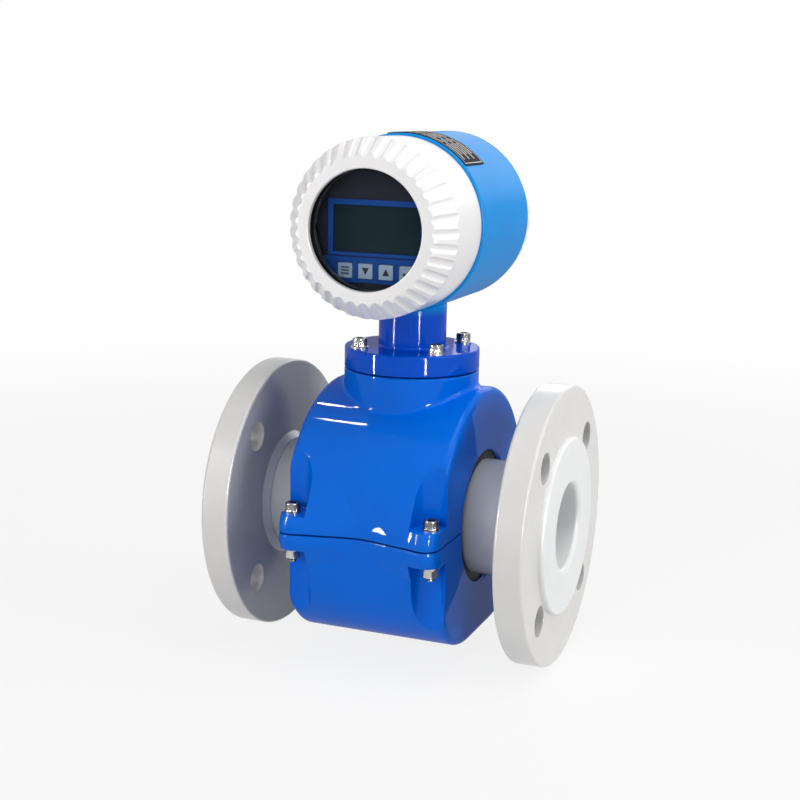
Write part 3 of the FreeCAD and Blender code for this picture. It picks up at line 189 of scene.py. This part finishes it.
class Surface:
    """A node material with one Principled shader and a few short ways to feed it."""

    def __init__(self, name, colour, roughness, **settings):
        self.material = bpy.data.materials.new(name)
        self.material.use_nodes = True
        self.tree = self.material.node_tree
        self.shader = self.tree.nodes["Principled BSDF"]
        self.shader.inputs["Base Color"].default_value = (*colour, 1)
        self.shader.inputs["Roughness"].default_value = roughness
        for key, value in settings.items():
            socket = key.replace("_", " ").title().replace("Ior", "IOR")
            self.shader.inputs[socket].default_value = value
        self.place = self.node("ShaderNodeTexCoord").outputs["Object"]

    def node(self, kind, **settings):
        """A new node."""
        node = self.tree.nodes.new(kind)
        for key, value in settings.items():
            setattr(node, key, value)
        return node

    def link(self, source, target):
        """Joins an output to an input."""
        self.tree.links.new(source, target)

    def feed(self, socket, value):
        """Sets an input to a number or a colour, or links it to an output."""
        if isinstance(value, (int, float)):
            socket.default_value = value
        elif isinstance(value, tuple):
            socket.default_value = (*value, 1)
        else:
            self.link(value, socket)

    def math(self, operation, *values):
        """A sum on numbers and outputs."""
        node = self.node("ShaderNodeMath", operation=operation)
        for socket, value in zip(node.inputs, values):
            self.feed(socket, value)
        return node.outputs[0]

    def axis(self, name):
        """The part's own x, y or z in metres."""
        node = self.node("ShaderNodeSeparateXYZ")
        self.link(self.place, node.inputs[0])
        return node.outputs[name.upper()]

    def stretched(self, scale):
        """The part's own coordinates times a scale on each axis."""
        node = self.node("ShaderNodeMapping")
        node.inputs["Scale"].default_value = scale
        self.link(self.place, node.inputs["Vector"])
        return node.outputs["Vector"]

    def noise(self, scale, detail=3.0, roughness=0.5, stretch=None):
        """A 0 to 1 noise."""
        node = self.node("ShaderNodeTexNoise")
        node.inputs["Scale"].default_value = scale
        node.inputs["Detail"].default_value = detail
        node.inputs["Roughness"].default_value = roughness
        self.link(self.stretched(stretch) if stretch else self.place, node.inputs["Vector"])
        return node.outputs["Fac"]

    def waves(self, value, pitch):
        """A smooth 0 to 1 wave of a given pitch along a value in metres."""
        phase = self.math("MULTIPLY", value, 2 * math.pi / pitch)
        return self.math("MULTIPLY_ADD", self.math("SINE", phase), 0.5, 0.5)

    def step(self, value, place, edge):
        """0 below a place and 1 above it, with a soft edge."""
        node = self.node("ShaderNodeMapRange", interpolation_type="SMOOTHSTEP")
        self.link(value, node.inputs["Value"])
        node.inputs["From Min"].default_value = place - edge
        node.inputs["From Max"].default_value = place + edge
        return node.outputs[0]

    def ramp(self, value, *stops):
        """Greys or colours along a 0 to 1 value, from two (position, shade) stops."""
        node = self.node("ShaderNodeValToRGB")
        for element, (position, shade) in zip(node.color_ramp.elements, stops):
            element.position = position
            element.color = (*shade, 1) if isinstance(shade, tuple) else (shade, shade, shade, 1)
        self.link(value, node.inputs["Fac"])
        return node.outputs["Color"]

    def patches(self, dark, light, scale, detail=3.0, stretch=None):
        """Soft patches between two greys or colours."""
        noise = self.noise(scale, detail, stretch=stretch)
        return self.ramp(noise, (PATCH_DARK, dark), (PATCH_LIGHT, light))

    def mix(self, factor, first, second, blend="MIX"):
        """Two colours mixed by a share."""
        node = self.node("ShaderNodeMix", data_type="RGBA", blend_type=blend)
        self.feed(node.inputs["Factor"], factor)
        self.feed(node.inputs[MIX_A], first)
        self.feed(node.inputs[MIX_B], second)
        return node.outputs[MIX_RESULT]

    def tinted(self, colour, shade):
        """A colour multiplied by a grey shade."""
        return self.mix(1.0, colour, shade, blend="MULTIPLY")

    def paint(self, colour):
        """Links the base colour."""
        self.link(colour, self.shader.inputs["Base Color"])

    def polish(self, value, low, high):
        """Roughness from a 0 to 1 value."""
        node = self.node("ShaderNodeMapRange")
        self.link(value, node.inputs["Value"])
        node.inputs["To Min"].default_value = low
        node.inputs["To Max"].default_value = high
        self.link(node.outputs[0], self.shader.inputs["Roughness"])

    def relief(self, *heights, edge=0.0):
        """Bumps from (value, depth in metres) pairs, over edges rounded by a radius in metres."""
        normal = None
        if edge:
            bevel = self.node("ShaderNodeBevel", samples=BEVEL_SAMPLES)
            bevel.inputs["Radius"].default_value = edge
            normal = bevel.outputs["Normal"]
        for value, depth in heights:
            bump = self.node("ShaderNodeBump")
            bump.inputs["Strength"].default_value = 1.0
            bump.inputs["Distance"].default_value = depth
            self.link(value, bump.inputs["Height"])
            if normal:
                self.link(normal, bump.inputs["Normal"])
            normal = bump.outputs["Normal"]
        self.link(normal, self.shader.inputs["Normal"])
        if self.shader.inputs["Coat Weight"].default_value:
            self.link(normal, self.shader.inputs["Coat Normal"])

    def cover(self, share, shader):
        """Shows another shader instead of the Principled one, by a share."""
        mix = self.node("ShaderNodeMixShader")
        self.link(share, mix.inputs[0])
        self.link(self.shader.outputs[0], mix.inputs[1])
        self.link(shader, mix.inputs[2])
        self.link(mix.outputs[0], self.tree.nodes["Material Output"].inputs["Surface"])


# ---- materials of the part ----

def enamel(name, shade, lit_colour=None):
    """Thick glossy enamel over a casting: orange peel, a deep coat and soft edges. A second colour
    paints light on the part above a height.
    """
    s = Surface(
        name, shade, 0.3, specular_ior_level=0.0,
        coat_weight=0.3, coat_roughness=GLOSSY_COAT, coat_ior=COAT_IOR,
    )
    paint = shade
    # Painted light and shade: above the height the head takes the lighter blue, and below it the
    # neck keeps the darker blue of painted shade.
    if lit_colour:
        high = s.step(s.axis("z"), LIT_HEAD_FROM_Z, LIT_HEAD_EDGE)
        paint = s.mix(high, shade, lit_colour)
        dulled = s.math("MULTIPLY_ADD", high, SATIN_COAT - GLOSSY_COAT, GLOSSY_COAT)
        s.link(dulled, s.shader.inputs["Coat Roughness"])
    s.paint(s.tinted(paint, s.patches(0.92, 1.0, 18, 4)))
    s.polish(s.noise(90, 3), 0.26, 0.4)
    s.relief((s.noise(45, 2), 0.03 * MM), (s.noise(700, 2), 0.004 * MM), edge=0.9 * MM)
    return s


def seam(name):
    """The dark line where paint has run over a joint."""
    s = Surface(name, SEAM_BLUE, 0.6, specular_ior_level=0.0)
    s.paint(s.tinted(SEAM_BLUE, s.patches(0.7, 1.0, 60)))
    s.relief((s.noise(500, 2), 0.02 * MM))
    return s


def powder_white():
    """White powder coat with its fine grain, and thread lines on the covers' skirts."""
    s = Surface(
        "white_powder_coat", (0.82, 0.805, 0.81), 0.38, coat_weight=0.3, coat_roughness=0.16,
    )
    s.paint(s.patches((0.79, 0.775, 0.78), (0.845, 0.83, 0.835), 25, 4))
    s.polish(s.noise(160, 3), 0.28, 0.46)
    off_middle = s.math("ABSOLUTE", s.math("SUBTRACT", s.axis("y"), SKIRTS_MIDDLE_Y))
    on_skirts = s.math("LESS_THAN", off_middle, SKIRTS_REACH)
    threads = s.math("MULTIPLY", s.waves(s.axis("y"), COVER_PITCH), on_skirts)
    s.relief((threads, COVER_THREAD_DEPTH), (s.noise(420, 3), 0.02 * MM), edge=0.5 * MM)
    return s


def flange_paint():
    """Warm grey paint on turned steel, with the lathe's rings faintly under it, and painted shade
    darkening the tube and the flanges' backs.
    """
    s = Surface(
        "grey_flange_paint", PALE_GREY, 0.36, specular_ior_level=0.1,
        coat_weight=0.6, coat_roughness=0.15,
    )
    # Painted shade: inside the flanges' back faces, the tube and the flanges' backs take the
    # darker grey.
    pale = s.step(s.math("ABSOLUTE", s.axis("x")), UNSHADED_FROM_X, UNSHADED_EDGE)
    mottle = s.ramp(s.noise(22, 5, 0.6), (0.3, 0.93), (0.72, 1.0))
    s.paint(s.tinted(s.mix(pale, SHADED_GREY, PALE_GREY), mottle))
    s.polish(s.noise(120, 3), 0.28, 0.44)
    squares = [s.math("POWER", s.axis(name), 2.0) for name in "yz"]
    radius = s.math("SQRT", s.math("ADD", *squares))
    s.relief((s.waves(radius, 0.8 * MM), 0.008 * MM), (s.noise(260, 3), 0.03 * MM), edge=0.6 * MM)
    return s


def lining():
    """White fluoropolymer lining, waxy and soft at its edges."""
    s = Surface("white_lining", (0.85, 0.855, 0.86), 0.4)
    s.paint(s.patches((0.83, 0.835, 0.84), (0.875, 0.88, 0.885), 30))
    s.polish(s.noise(140, 2), 0.32, 0.46)
    s.relief((s.noise(120, 3), 0.02 * MM), edge=0.3 * MM)
    return s


def stainless(name, dull, bright):
    """Stainless steel with fine turning marks, between two greys."""
    s = Surface(name, (bright, bright, bright), 0.18, metallic=1.0)
    greys = [(grey, grey, grey * STEEL_BLUE_SHARE) for grey in (dull, bright)]
    s.paint(s.patches(*greys, 200, 4))
    s.polish(s.noise(500, 2, stretch=(1, 1, 8)), 0.12, 0.3)
    s.relief((s.noise(1200, 2, stretch=(1, 1, 6)), 0.01 * MM))
    return s


def core_steel():
    """Dull electrical steel with its sheet lines."""
    s = Surface("core_steel", (0.32, 0.32, 0.34), 0.42, metallic=1.0)
    s.polish(s.noise(150, 4), 0.32, 0.55)
    s.relief((s.waves(s.axis("x"), 0.5 * MM), 0.04 * MM), (s.noise(300, 3), 0.02 * MM))
    return s


def copper_wire():
    """Enamelled copper wire, layer on layer."""
    s = Surface(
        "copper_winding", (0.55, 0.19, 0.06), 0.3, metallic=0.9,
        coat_weight=0.6, coat_roughness=0.2,
    )
    s.paint(s.patches((0.42, 0.13, 0.04), (0.66, 0.25, 0.09), 250, 4))
    s.relief((s.waves(s.axis("z"), 0.7 * MM), 0.2 * MM))
    return s


def rubber():
    """Black gasket rubber."""
    s = Surface("black_rubber", (0.012, 0.012, 0.013), 0.6)
    s.paint(s.patches((0.008, 0.008, 0.009), (0.02, 0.02, 0.022), 60, 4))
    s.polish(s.noise(300, 3), 0.5, 0.75)
    s.relief((s.noise(700, 3), 0.03 * MM))
    return s


def nylon():
    """Black moulded nylon."""
    s = Surface("black_nylon", (0.02, 0.02, 0.022), 0.42)
    s.paint(s.patches((0.014, 0.014, 0.016), (0.028, 0.028, 0.03), 40))
    s.polish(s.noise(220, 3), 0.34, 0.52)
    s.relief((s.noise(900, 3), 0.02 * MM), edge=0.4 * MM)
    return s


def panel_black():
    """The dark printed film of the display panel."""
    s = Surface("panel_film_black", (0.018, 0.018, 0.025), 0.3, specular_ior_level=0.0)
    s.paint(s.patches((0.015, 0.015, 0.021), (0.020, 0.020, 0.028), 30))
    s.polish(s.noise(260, 3), 0.24, 0.38)
    s.relief((s.noise(900, 2), 0.01 * MM))
    return s


def panel_blue():
    """The blue print round the display and the keys."""
    s = Surface("panel_film_blue", (0.011, 0.046, 0.20), 0.32, specular_ior_level=0.0)
    s.paint(s.patches((0.008, 0.033, 0.14), (0.011, 0.045, 0.185), 40))
    s.polish(s.noise(260, 3), 0.24, 0.4)
    s.relief((s.noise(900, 2), 0.01 * MM))
    return s


def key_face():
    """Pale membrane keys, faintly mottled."""
    s = Surface("pale_key", (0.16, 0.21, 0.275), 0.4, specular_ior_level=0.15)
    s.paint(s.patches((0.145, 0.195, 0.26), (0.175, 0.225, 0.29), 180))
    s.polish(s.noise(300, 3), 0.32, 0.5)
    s.relief((s.noise(800, 2), 0.02 * MM), edge=0.3 * MM)
    return s


def dark_ink():
    """The dark print of the key symbols."""
    s = Surface("dark_ink", (0.008, 0.009, 0.012), 0.5, specular_ior_level=0.1)
    s.paint(s.patches((0.006, 0.007, 0.009), (0.011, 0.012, 0.015), 400, 2))
    return s


def liquid_crystal():
    """The unlit display: dark grey-green, unevenly shaded, with a smooth surface."""
    s = Surface("unlit_display", (0.009, 0.016, 0.021), 0.2, specular_ior_level=0.0)
    s.paint(s.patches((0.007, 0.013, 0.018), (0.011, 0.019, 0.025), 22, 2))
    s.polish(s.noise(60, 2), 0.16, 0.24)
    s.relief((s.noise(40, 2), 0.01 * MM))
    return s


def circuit_board():
    """Green solder mask with tracks."""
    s = Surface(
        "green_circuit_board", (0.012, 0.13, 0.05), 0.35, coat_weight=0.4, coat_roughness=0.2,
    )
    tracks = s.node("ShaderNodeTexBrick")
    s.link(s.stretched((240, 240, 240)), tracks.inputs["Vector"])
    tracks.inputs["Color1"].default_value = (0.012, 0.12, 0.045, 1)
    tracks.inputs["Color2"].default_value = (0.010, 0.10, 0.04, 1)
    tracks.inputs["Mortar"].default_value = (0.02, 0.2, 0.08, 1)
    tracks.inputs["Mortar Size"].default_value = 0.05
    s.paint(tracks.outputs["Color"])
    s.relief((tracks.outputs["Fac"], 0.03 * MM))
    return s


def moulded(name, colour):
    """A moulded electrical part in one colour, with slightly paler patches."""
    s = Surface(name, colour, 0.45)
    pale = tuple(min(1.0, part * PALER_BY + PALER_AT_LEAST) for part in colour)
    s.paint(s.patches(colour, pale, 150))
    s.polish(s.noise(300, 3), 0.36, 0.55)
    s.relief((s.noise(800, 3), 0.02 * MM), edge=0.3 * MM)
    return s


def etched_plate():
    """Dark etched metal plate, finely brushed along its length."""
    s = Surface("etched_plate", (0.055, 0.056, 0.06), 0.5, specular_ior_level=0.0)
    s.paint(s.patches((0.045, 0.046, 0.05), (0.07, 0.071, 0.075), 160, 4, stretch=(1, 6, 1)))
    s.polish(s.noise(420, 3, stretch=(1, 8, 1)), 0.42, 0.6)
    s.relief((s.noise(600, 2, stretch=(1, 8, 1)), 0.015 * MM))
    return s


def plate_line():
    """The bare metal of the etched rules on the plate."""
    s = Surface("etched_rule", (0.55, 0.54, 0.52), 0.45)
    s.paint(s.patches((0.48, 0.47, 0.45), (0.60, 0.59, 0.57), 500))
    return s


def window():
    """Clear toughened glass that lets lamplight through to the display."""
    s = Surface("clear_glass", (0.95, 0.97, 0.98), 0.0, transmission_weight=1.0, ior=GLASS_IOR)
    clear = s.node("ShaderNodeBsdfTransparent")
    clear.inputs["Color"].default_value = (0.90, 0.94, 0.95, 1)
    s.cover(s.node("ShaderNodeLightPath").outputs["Is Shadow Ray"], clear.outputs[0])
    return s


def finishes():
    """Every material by the record's slot."""
    return {
        "housing_blue": enamel("blue_enamel", BODY_BLUE),
        "cover_white": powder_white(),
        "flange_grey": flange_paint(),
        "liner_white": lining(),
        "stainless": stainless("stainless_steel", 0.40, 0.56),
        "electrical_steel": core_steel(),
        "copper": copper_wire(),
        "rubber_black": rubber(),
        "clear_glass": window(),
        "panel_black": panel_black(),
        "panel_blue": panel_blue(),
        "key_grey": key_face(),
        "lcd_dark": liquid_crystal(),
        "board_green": circuit_board(),
        "part_black": nylon(),
        "part_yellow": moulded("yellow_wrap", (0.55, 0.36, 0.04)),
        "bush_white": moulded("white_bush", (0.78, 0.77, 0.72)),
        "terminal_green": moulded("green_terminal", (0.02, 0.20, 0.07)),
        "plate_grey": etched_plate(),
    }


def dress():
    """Puts each node's finish on it, from the record's slots."""
    by_slot = finishes()
    by_node = {
        # The head's enamel paints light on the head's top and shade on its neck.
        "head_housing": enamel("head_enamel_painted_light", SHADED_NECK_BLUE, LIT_HEAD_BLUE),
        "housing_gasket": seam("painted_over_seam"),
        "neck_gasket": seam("painted_over_gasket"),
    }
    for entry in frame["record"]["subparts"]:
        node = entry["node"]
        surface = by_node.get(node) or by_slot[entry["material_slot"]]
        for slot in NODES[node].material_slots:
            slot.material = surface.material


# ---- meshes: helpers ----

def piece(name, mesh, surface, body):
    """A new object that rides on a body."""
    thing = bpy.data.objects.new(name, mesh)
    bpy.context.scene.collection.objects.link(thing)
    mesh.materials.append(surface.material)
    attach(thing, body)
    return thing


def smoothed(bm, name):
    """A mesh from a bmesh, smooth but for its sharp edges."""
    mesh = bpy.data.meshes.new(name)
    bm.to_mesh(mesh)
    bm.free()
    for polygon in mesh.polygons:
        polygon.use_smooth = True
    mesh.set_sharp_from_angle(angle=SHARP_FROM)
    return mesh


def finished(bm, name):
    """A smoothed mesh with double vertices merged and its faces turned outwards."""
    bmesh.ops.remove_doubles(bm, verts=bm.verts, dist=MERGE_DISTANCE)
    bmesh.ops.recalc_face_normals(bm, faces=bm.faces)
    return smoothed(bm, name)


def joined(name, meshes):
    """Several meshes as one."""
    bm = bmesh.new()
    for mesh in meshes:
        bm.from_mesh(mesh)
        bpy.data.meshes.remove(mesh)
    return smoothed(bm, name)


def turned(bm, rows, steps, shape):
    """Rings of vertices joined into a skin; shape gives a row's radius and height at an angle."""
    rings = []
    for row in range(rows):
        ring = []
        for step in range(steps):
            angle = 2 * math.pi * step / steps
            radius, height = shape(row, angle)
            ring.append(bm.verts.new((radius * math.cos(angle), radius * math.sin(angle), height)))
        rings.append(ring)
    for low, high in zip(rings, rings[1:]):
        bridge(bm, low, high)
    return rings


def bridge(bm, first, second):
    """A band of faces between two rings of vertices."""
    for step in range(len(first)):
        after = (step + 1) % len(first)
        bm.faces.new((first[step], first[after], second[after], second[step]))


def island_boxes(node):
    """The box of each separate solid in a node, found by its connected vertices."""
    bm = bmesh.new()
    bm.from_mesh(NODES[node].data)
    bmesh.ops.remove_doubles(bm, verts=bm.verts, dist=ISLAND_DISTANCE)
    reached = set()
    boxes = []
    for start in bm.verts:
        if start in reached:
            continue
        reached.add(start)
        stack = [start]
        members = []
        while stack:
            vert = stack.pop()
            members.append(vert.co.copy())
            for edge in vert.link_edges:
                other = edge.other_vert(vert)
                if other not in reached:
                    reached.add(other)
                    stack.append(other)
        low = Vector([min(co[i] for co in members) for i in range(3)])
        high = Vector([max(co[i] for co in members) for i in range(3)])
        boxes.append((low, high))
    bm.free()
    return boxes


# ---- screws ----

def socket_head(bm):
    """A knurled head with rounded edges and a hexagon socket, its underside at z = 0."""
    steps = KNURLS * KNURL_STEPS

    def side(row, angle):
        share, height, knurl = HEAD_SIDE[row]
        groove = 0.5 - 0.5 * math.cos(angle * KNURLS)
        return SCREW_HEAD_D / 2 * share - knurl * groove * KNURL_DEPTH, SCREW_HEAD_H * height

    def socket(row, angle):
        share, height = HEAD_SOCKET[row]
        off_flat = (angle + math.pi / 6) % (math.pi / 3) - math.pi / 6
        radius = share * SOCKET_AF / 2 / math.cos(off_flat)
        return max(radius, SOCKET_TIP_R), SCREW_HEAD_H * height

    rim = turned(bm, len(HEAD_SIDE), steps, side)
    well = turned(bm, len(HEAD_SOCKET), steps, socket)
    bridge(bm, rim[-1], well[0])
    bm.faces.new(well[-1])
    bm.faces.new(tuple(reversed(rim[0])))


def threaded_shank(bm, length):
    """A screw thread of real pitch, from the head down to a chamfered end."""
    rows = int(length / THREAD_PITCH * ROWS_PER_PITCH) + 1

    def thread(row, angle):
        depth = length * row / (rows - 1)
        phase = (depth / THREAD_PITCH + angle / (2 * math.pi)) % 1.0
        crest = 1 - abs(2 * phase - 1)
        radius = SHANK_D / 2 - THREAD_HEIGHT * (1 - crest)
        into_chamfer = row - (rows - CHAMFER_ROWS)
        if into_chamfer >= 0:
            radius = min(radius, SHANK_D / 2 - THREAD_HEIGHT - into_chamfer * CHAMFER_STEP)
        return radius, -depth

    rings = turned(bm, rows, SHANK_STEPS, thread)
    bm.faces.new(rings[-1])
    bm.faces.new(tuple(reversed(rings[0])))


def cap_screw(name, seat, direction, length):
    """One socket cap screw whose head sits at seat and points along direction."""
    bm = bmesh.new()
    socket_head(bm)
    threaded_shank(bm, length)
    mesh = finished(bm, name)
    turn = direction.to_track_quat("Z", "Y").to_matrix().to_4x4()
    mesh.transform(Matrix.Translation(seat) @ turn)
    return mesh


def upright_screws(node, steel):
    """Knurled, threaded screws in place of a node's plain ones."""
    meshes = []
    for low, high in island_boxes(node):
        seat = Vector(((low.x + high.x) / 2, (low.y + high.y) / 2, high.z - SCREW_HEAD_H))
        meshes.append(cap_screw(node, seat, UP, seat.z - low.z))
    screws = piece(node + "_detailed", joined(node, meshes), steel, "meter_body")
    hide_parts(node)


# ---- print on the keys and the nameplate ----

def slab(bm, outline, depth, place):
    """An outline of (x, z) points in millimetres, drawn round place and given a depth along +Y."""
    front = [bm.verts.new((place.x + x * MM, place.y, place.z + z * MM)) for x, z in outline]
    back = [bm.verts.new((v.co.x, place.y + depth, v.co.z)) for v in front]
    bm.faces.new(front)
    bm.faces.new(tuple(reversed(back)))
    for index in range(len(outline)):
        after = (index + 1) % len(outline)
        bm.faces.new((front[index], back[index], back[after], front[after]))


def bar(x0, x1, z0, z1):
    """The outline of a rectangle."""
    return (x0, z0), (x1, z0), (x1, z1), (x0, z1)


def key_symbols(ink):
    """The print on the keys: three bars, two arrows and a return arrow."""
    symbols = {
        "key_menu": [bar(-2.3, 2.3, z - 0.38, z + 0.38) for z in (-1.7, 0.0, 1.7)],
        "key_down": [ARROW_DOWN],
        "key_up": [ARROW_UP],
        "key_enter": [bar(1.4, 2.1, -0.9, 2.0), bar(-1.0, 1.4, -0.9, -0.2), ARROW_LEFT],
    }
    for node, outlines in symbols.items():
        low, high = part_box(node)
        middle = Vector(((low.x + high.x) / 2, low.y - INK_RISE, (low.z + high.z) / 2))
        bm = bmesh.new()
        for outline in outlines:
            slab(bm, outline, INK_DEPTH, middle)
        name = node + "_symbol"
        piece(name, finished(bm, name), ink, node)


def curved_strip(bm, axis_z, radius, angles, ends):
    """A thin strip on a cylinder along Y, between two angles from the top and two values of y."""
    start, end = angles
    steps = max(1, int(abs(end - start) / PLATE_ARC_STEP))
    rows = []
    for index in range(steps + 1):
        angle = start + (end - start) * index / steps
        row = []
        for y in ends:
            for size in (radius - PLATE_SINK, radius + PLATE_RISE):
                x, z = size * math.sin(angle), axis_z + size * math.cos(angle)
                row.append(bm.verts.new((x, y, z)))
        rows.append(row)
    for a, b in zip(rows, rows[1:]):
        bm.faces.new((a[1], a[3], b[3], b[1]))
        bm.faces.new((a[0], b[0], b[2], a[2]))
        bm.faces.new((a[0], a[1], b[1], b[0]))
        bm.faces.new((a[2], b[2], b[3], a[3]))
    first, last = rows[0], rows[-1]
    bm.faces.new((first[0], first[2], first[3], first[1]))
    bm.faces.new((last[0], last[1], last[3], last[2]))


def plate_rules(metal):
    """A border and broken rules on the curved nameplate, following its cylinder."""
    low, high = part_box("nameplate")
    glass_low, glass_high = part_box("window_glass")
    axis_z = (glass_low.z + glass_high.z) / 2
    radius = high.z - axis_z
    start = math.asin(low.x / radius) + PLATE_MARGIN / radius
    end = math.asin(high.x / radius) - PLATE_MARGIN / radius
    front = low.y + PLATE_MARGIN
    back = high.y - PLATE_MARGIN
    turn = PLATE_BORDER / radius
    strips = [
        ((start, end), (front, front + PLATE_BORDER)),
        ((start, end), (back - PLATE_BORDER, back)),
        ((start, start + turn), (front, back)),
        ((end - turn, end), (front, back)),
    ]
    for row in range(1, PLATE_ROWS):
        y = front + (back - front) * row / PLATE_ROWS
        for field in PLATE_FIELDS[row % 2]:
            angles = [start + (end - start) * share for share in field]
            strips.append((angles, (y - PLATE_RULE / 2, y + PLATE_RULE / 2)))
    bm = bmesh.new()
    for angles, ends in strips:
        curved_strip(bm, axis_z, radius, angles, ends)
    name = "nameplate_rules"
    piece(name, finished(bm, name), metal, "meter_body")


# ---- stage ----

def facing(right, top, back, place):
    """The matrix of a camera or lamp with its back along one direction."""
    return Matrix.Translation(place) @ Matrix((right, top, back)).transposed().to_4x4()


def look_from_photograph():
    """The camera, at the photograph's viewing angle."""
    azimuth = math.radians(CAMERA_AZIMUTH)
    elevation = math.radians(CAMERA_ELEVATION)
    roll = math.radians(CAMERA_ROLL)
    back = Vector((
        math.sin(azimuth) * math.cos(elevation),
        -math.cos(azimuth) * math.cos(elevation),
        math.sin(elevation),
    ))
    level = UP.cross(back).normalized()
    upright = back.cross(level)
    right = math.cos(roll) * level + math.sin(roll) * upright
    data = bpy.data.cameras.new("camera")
    data.lens = CAMERA_LENS
    data.sensor_width = CAMERA_SENSOR
    data.clip_start = CAMERA_CLIP
    camera = bpy.data.objects.new("camera", data)
    camera.matrix_world = facing(right, back.cross(right), back, CAMERA_AT)
    bpy.context.scene.collection.objects.link(camera)
    bpy.context.scene.camera = camera


def lamp(name, place, size, power, kind):
    """A rectangular lamp that faces the part's middle."""
    data = bpy.data.lights.new(name, "AREA")
    data.shape = "RECTANGLE"
    data.size, data.size_y = size
    data.energy = power
    thing = bpy.data.objects.new(name, data)
    behind = (Vector(place) - LAMPS_AIM).normalized()
    across = UP.cross(behind).normalized()
    thing.matrix_world = facing(across, behind.cross(across), behind, place)
    thing.visible_camera = False
    thing.visible_transmission = False
    thing.visible_glossy = kind != "soft"
    thing.visible_diffuse = kind != "mirrored"
    bpy.context.scene.collection.objects.link(thing)


def shows_ground(tree):
    """1 for the rays that show the ground: from the camera, mirrored, or through glass."""
    path = tree.nodes.new("ShaderNodeLightPath")
    total = path.outputs["Is Camera Ray"]
    for kind in ("Is Glossy Ray", "Is Transmission Ray"):
        either = tree.nodes.new("ShaderNodeMath")
        either.operation = "MAXIMUM"
        tree.links.new(total, either.inputs[0])
        tree.links.new(path.outputs[kind], either.inputs[1])
        total = either.outputs[0]
    return total


def surround():
    """A world that lights softly and shows white."""
    world = bpy.data.worlds.new("studio")
    world.use_nodes = True
    tree = world.node_tree
    soft = tree.nodes["Background"]
    soft.inputs["Color"].default_value = (1, 1, 1, 1)
    soft.inputs["Strength"].default_value = WORLD_LIGHT
    white = tree.nodes.new("ShaderNodeBackground")
    white.inputs["Color"].default_value = (1, 1, 1, 1)
    white.inputs["Strength"].default_value = 1.0
    mix = tree.nodes.new("ShaderNodeMixShader")
    tree.links.new(shows_ground(tree), mix.inputs[0])
    tree.links.new(soft.outputs[0], mix.inputs[1])
    tree.links.new(white.outputs[0], mix.inputs[2])
    tree.links.new(mix.outputs[0], tree.nodes["World Output"].inputs["Surface"])
    return world


def floor_surface():
    """Pale near the part, where it shows the part's shadow, and white further out."""
    s = Surface("pale_floor", (0.75, 0.75, 0.75), 0.9, specular_ior_level=0.0)
    s.paint(s.patches(0.74, 0.76, 3, 2))
    white = s.node("ShaderNodeEmission")
    white.inputs["Color"].default_value = (1, 1, 1, 1)
    distance = s.node("ShaderNodeVectorMath", operation="LENGTH")
    s.link(s.place, distance.inputs[0])
    fade = s.node("ShaderNodeMapRange", interpolation_type="SMOOTHSTEP")
    s.link(distance.outputs["Value"], fade.inputs["Value"])
    for socket, value in FLOOR_FADE.items():
        fade.inputs[socket].default_value = value
    s.cover(s.math("MULTIPLY", fade.outputs[0], shows_ground(s.tree)), white.outputs[0])
    return s


def floor():
    """A wide plain floor just under the flanges."""
    bm = bmesh.new()
    bmesh.ops.create_grid(bm, x_segments=1, y_segments=1, size=FLOOR_SIZE)
    mesh = bpy.data.meshes.new("floor")
    bm.to_mesh(mesh)
    bm.free()
    mesh.materials.append(floor_surface().material)
    thing = bpy.data.objects.new("floor", mesh)
    thing.location.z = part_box("inlet_flange")[0].z - FLOOR_GAP
    bpy.context.scene.collection.objects.link(thing)


def studio():
    """A pale floor, a soft surround and a few lamps."""
    bpy.context.scene.view_settings.view_transform = "Standard"
    bpy.context.scene.world = surround()
    floor()
    for facts in LAMPS:
        lamp(*facts)


def main():
    look_from_photograph()
    dress()
    # The screws get a darker copy of the stainless steel. The darkness is a painted dark
    # reflection that gives their heads contrast.
    screw_steel_painted_dark_reflection = stainless("screw_steel_painted_dark_reflection", 0.15, 0.26)
    upright_screws("clamp_screws", screw_steel_painted_dark_reflection)
    upright_screws("neck_screws", screw_steel_painted_dark_reflection)
    key_symbols(dark_ink())
    plate_rules(plate_line())
    studio()


main()
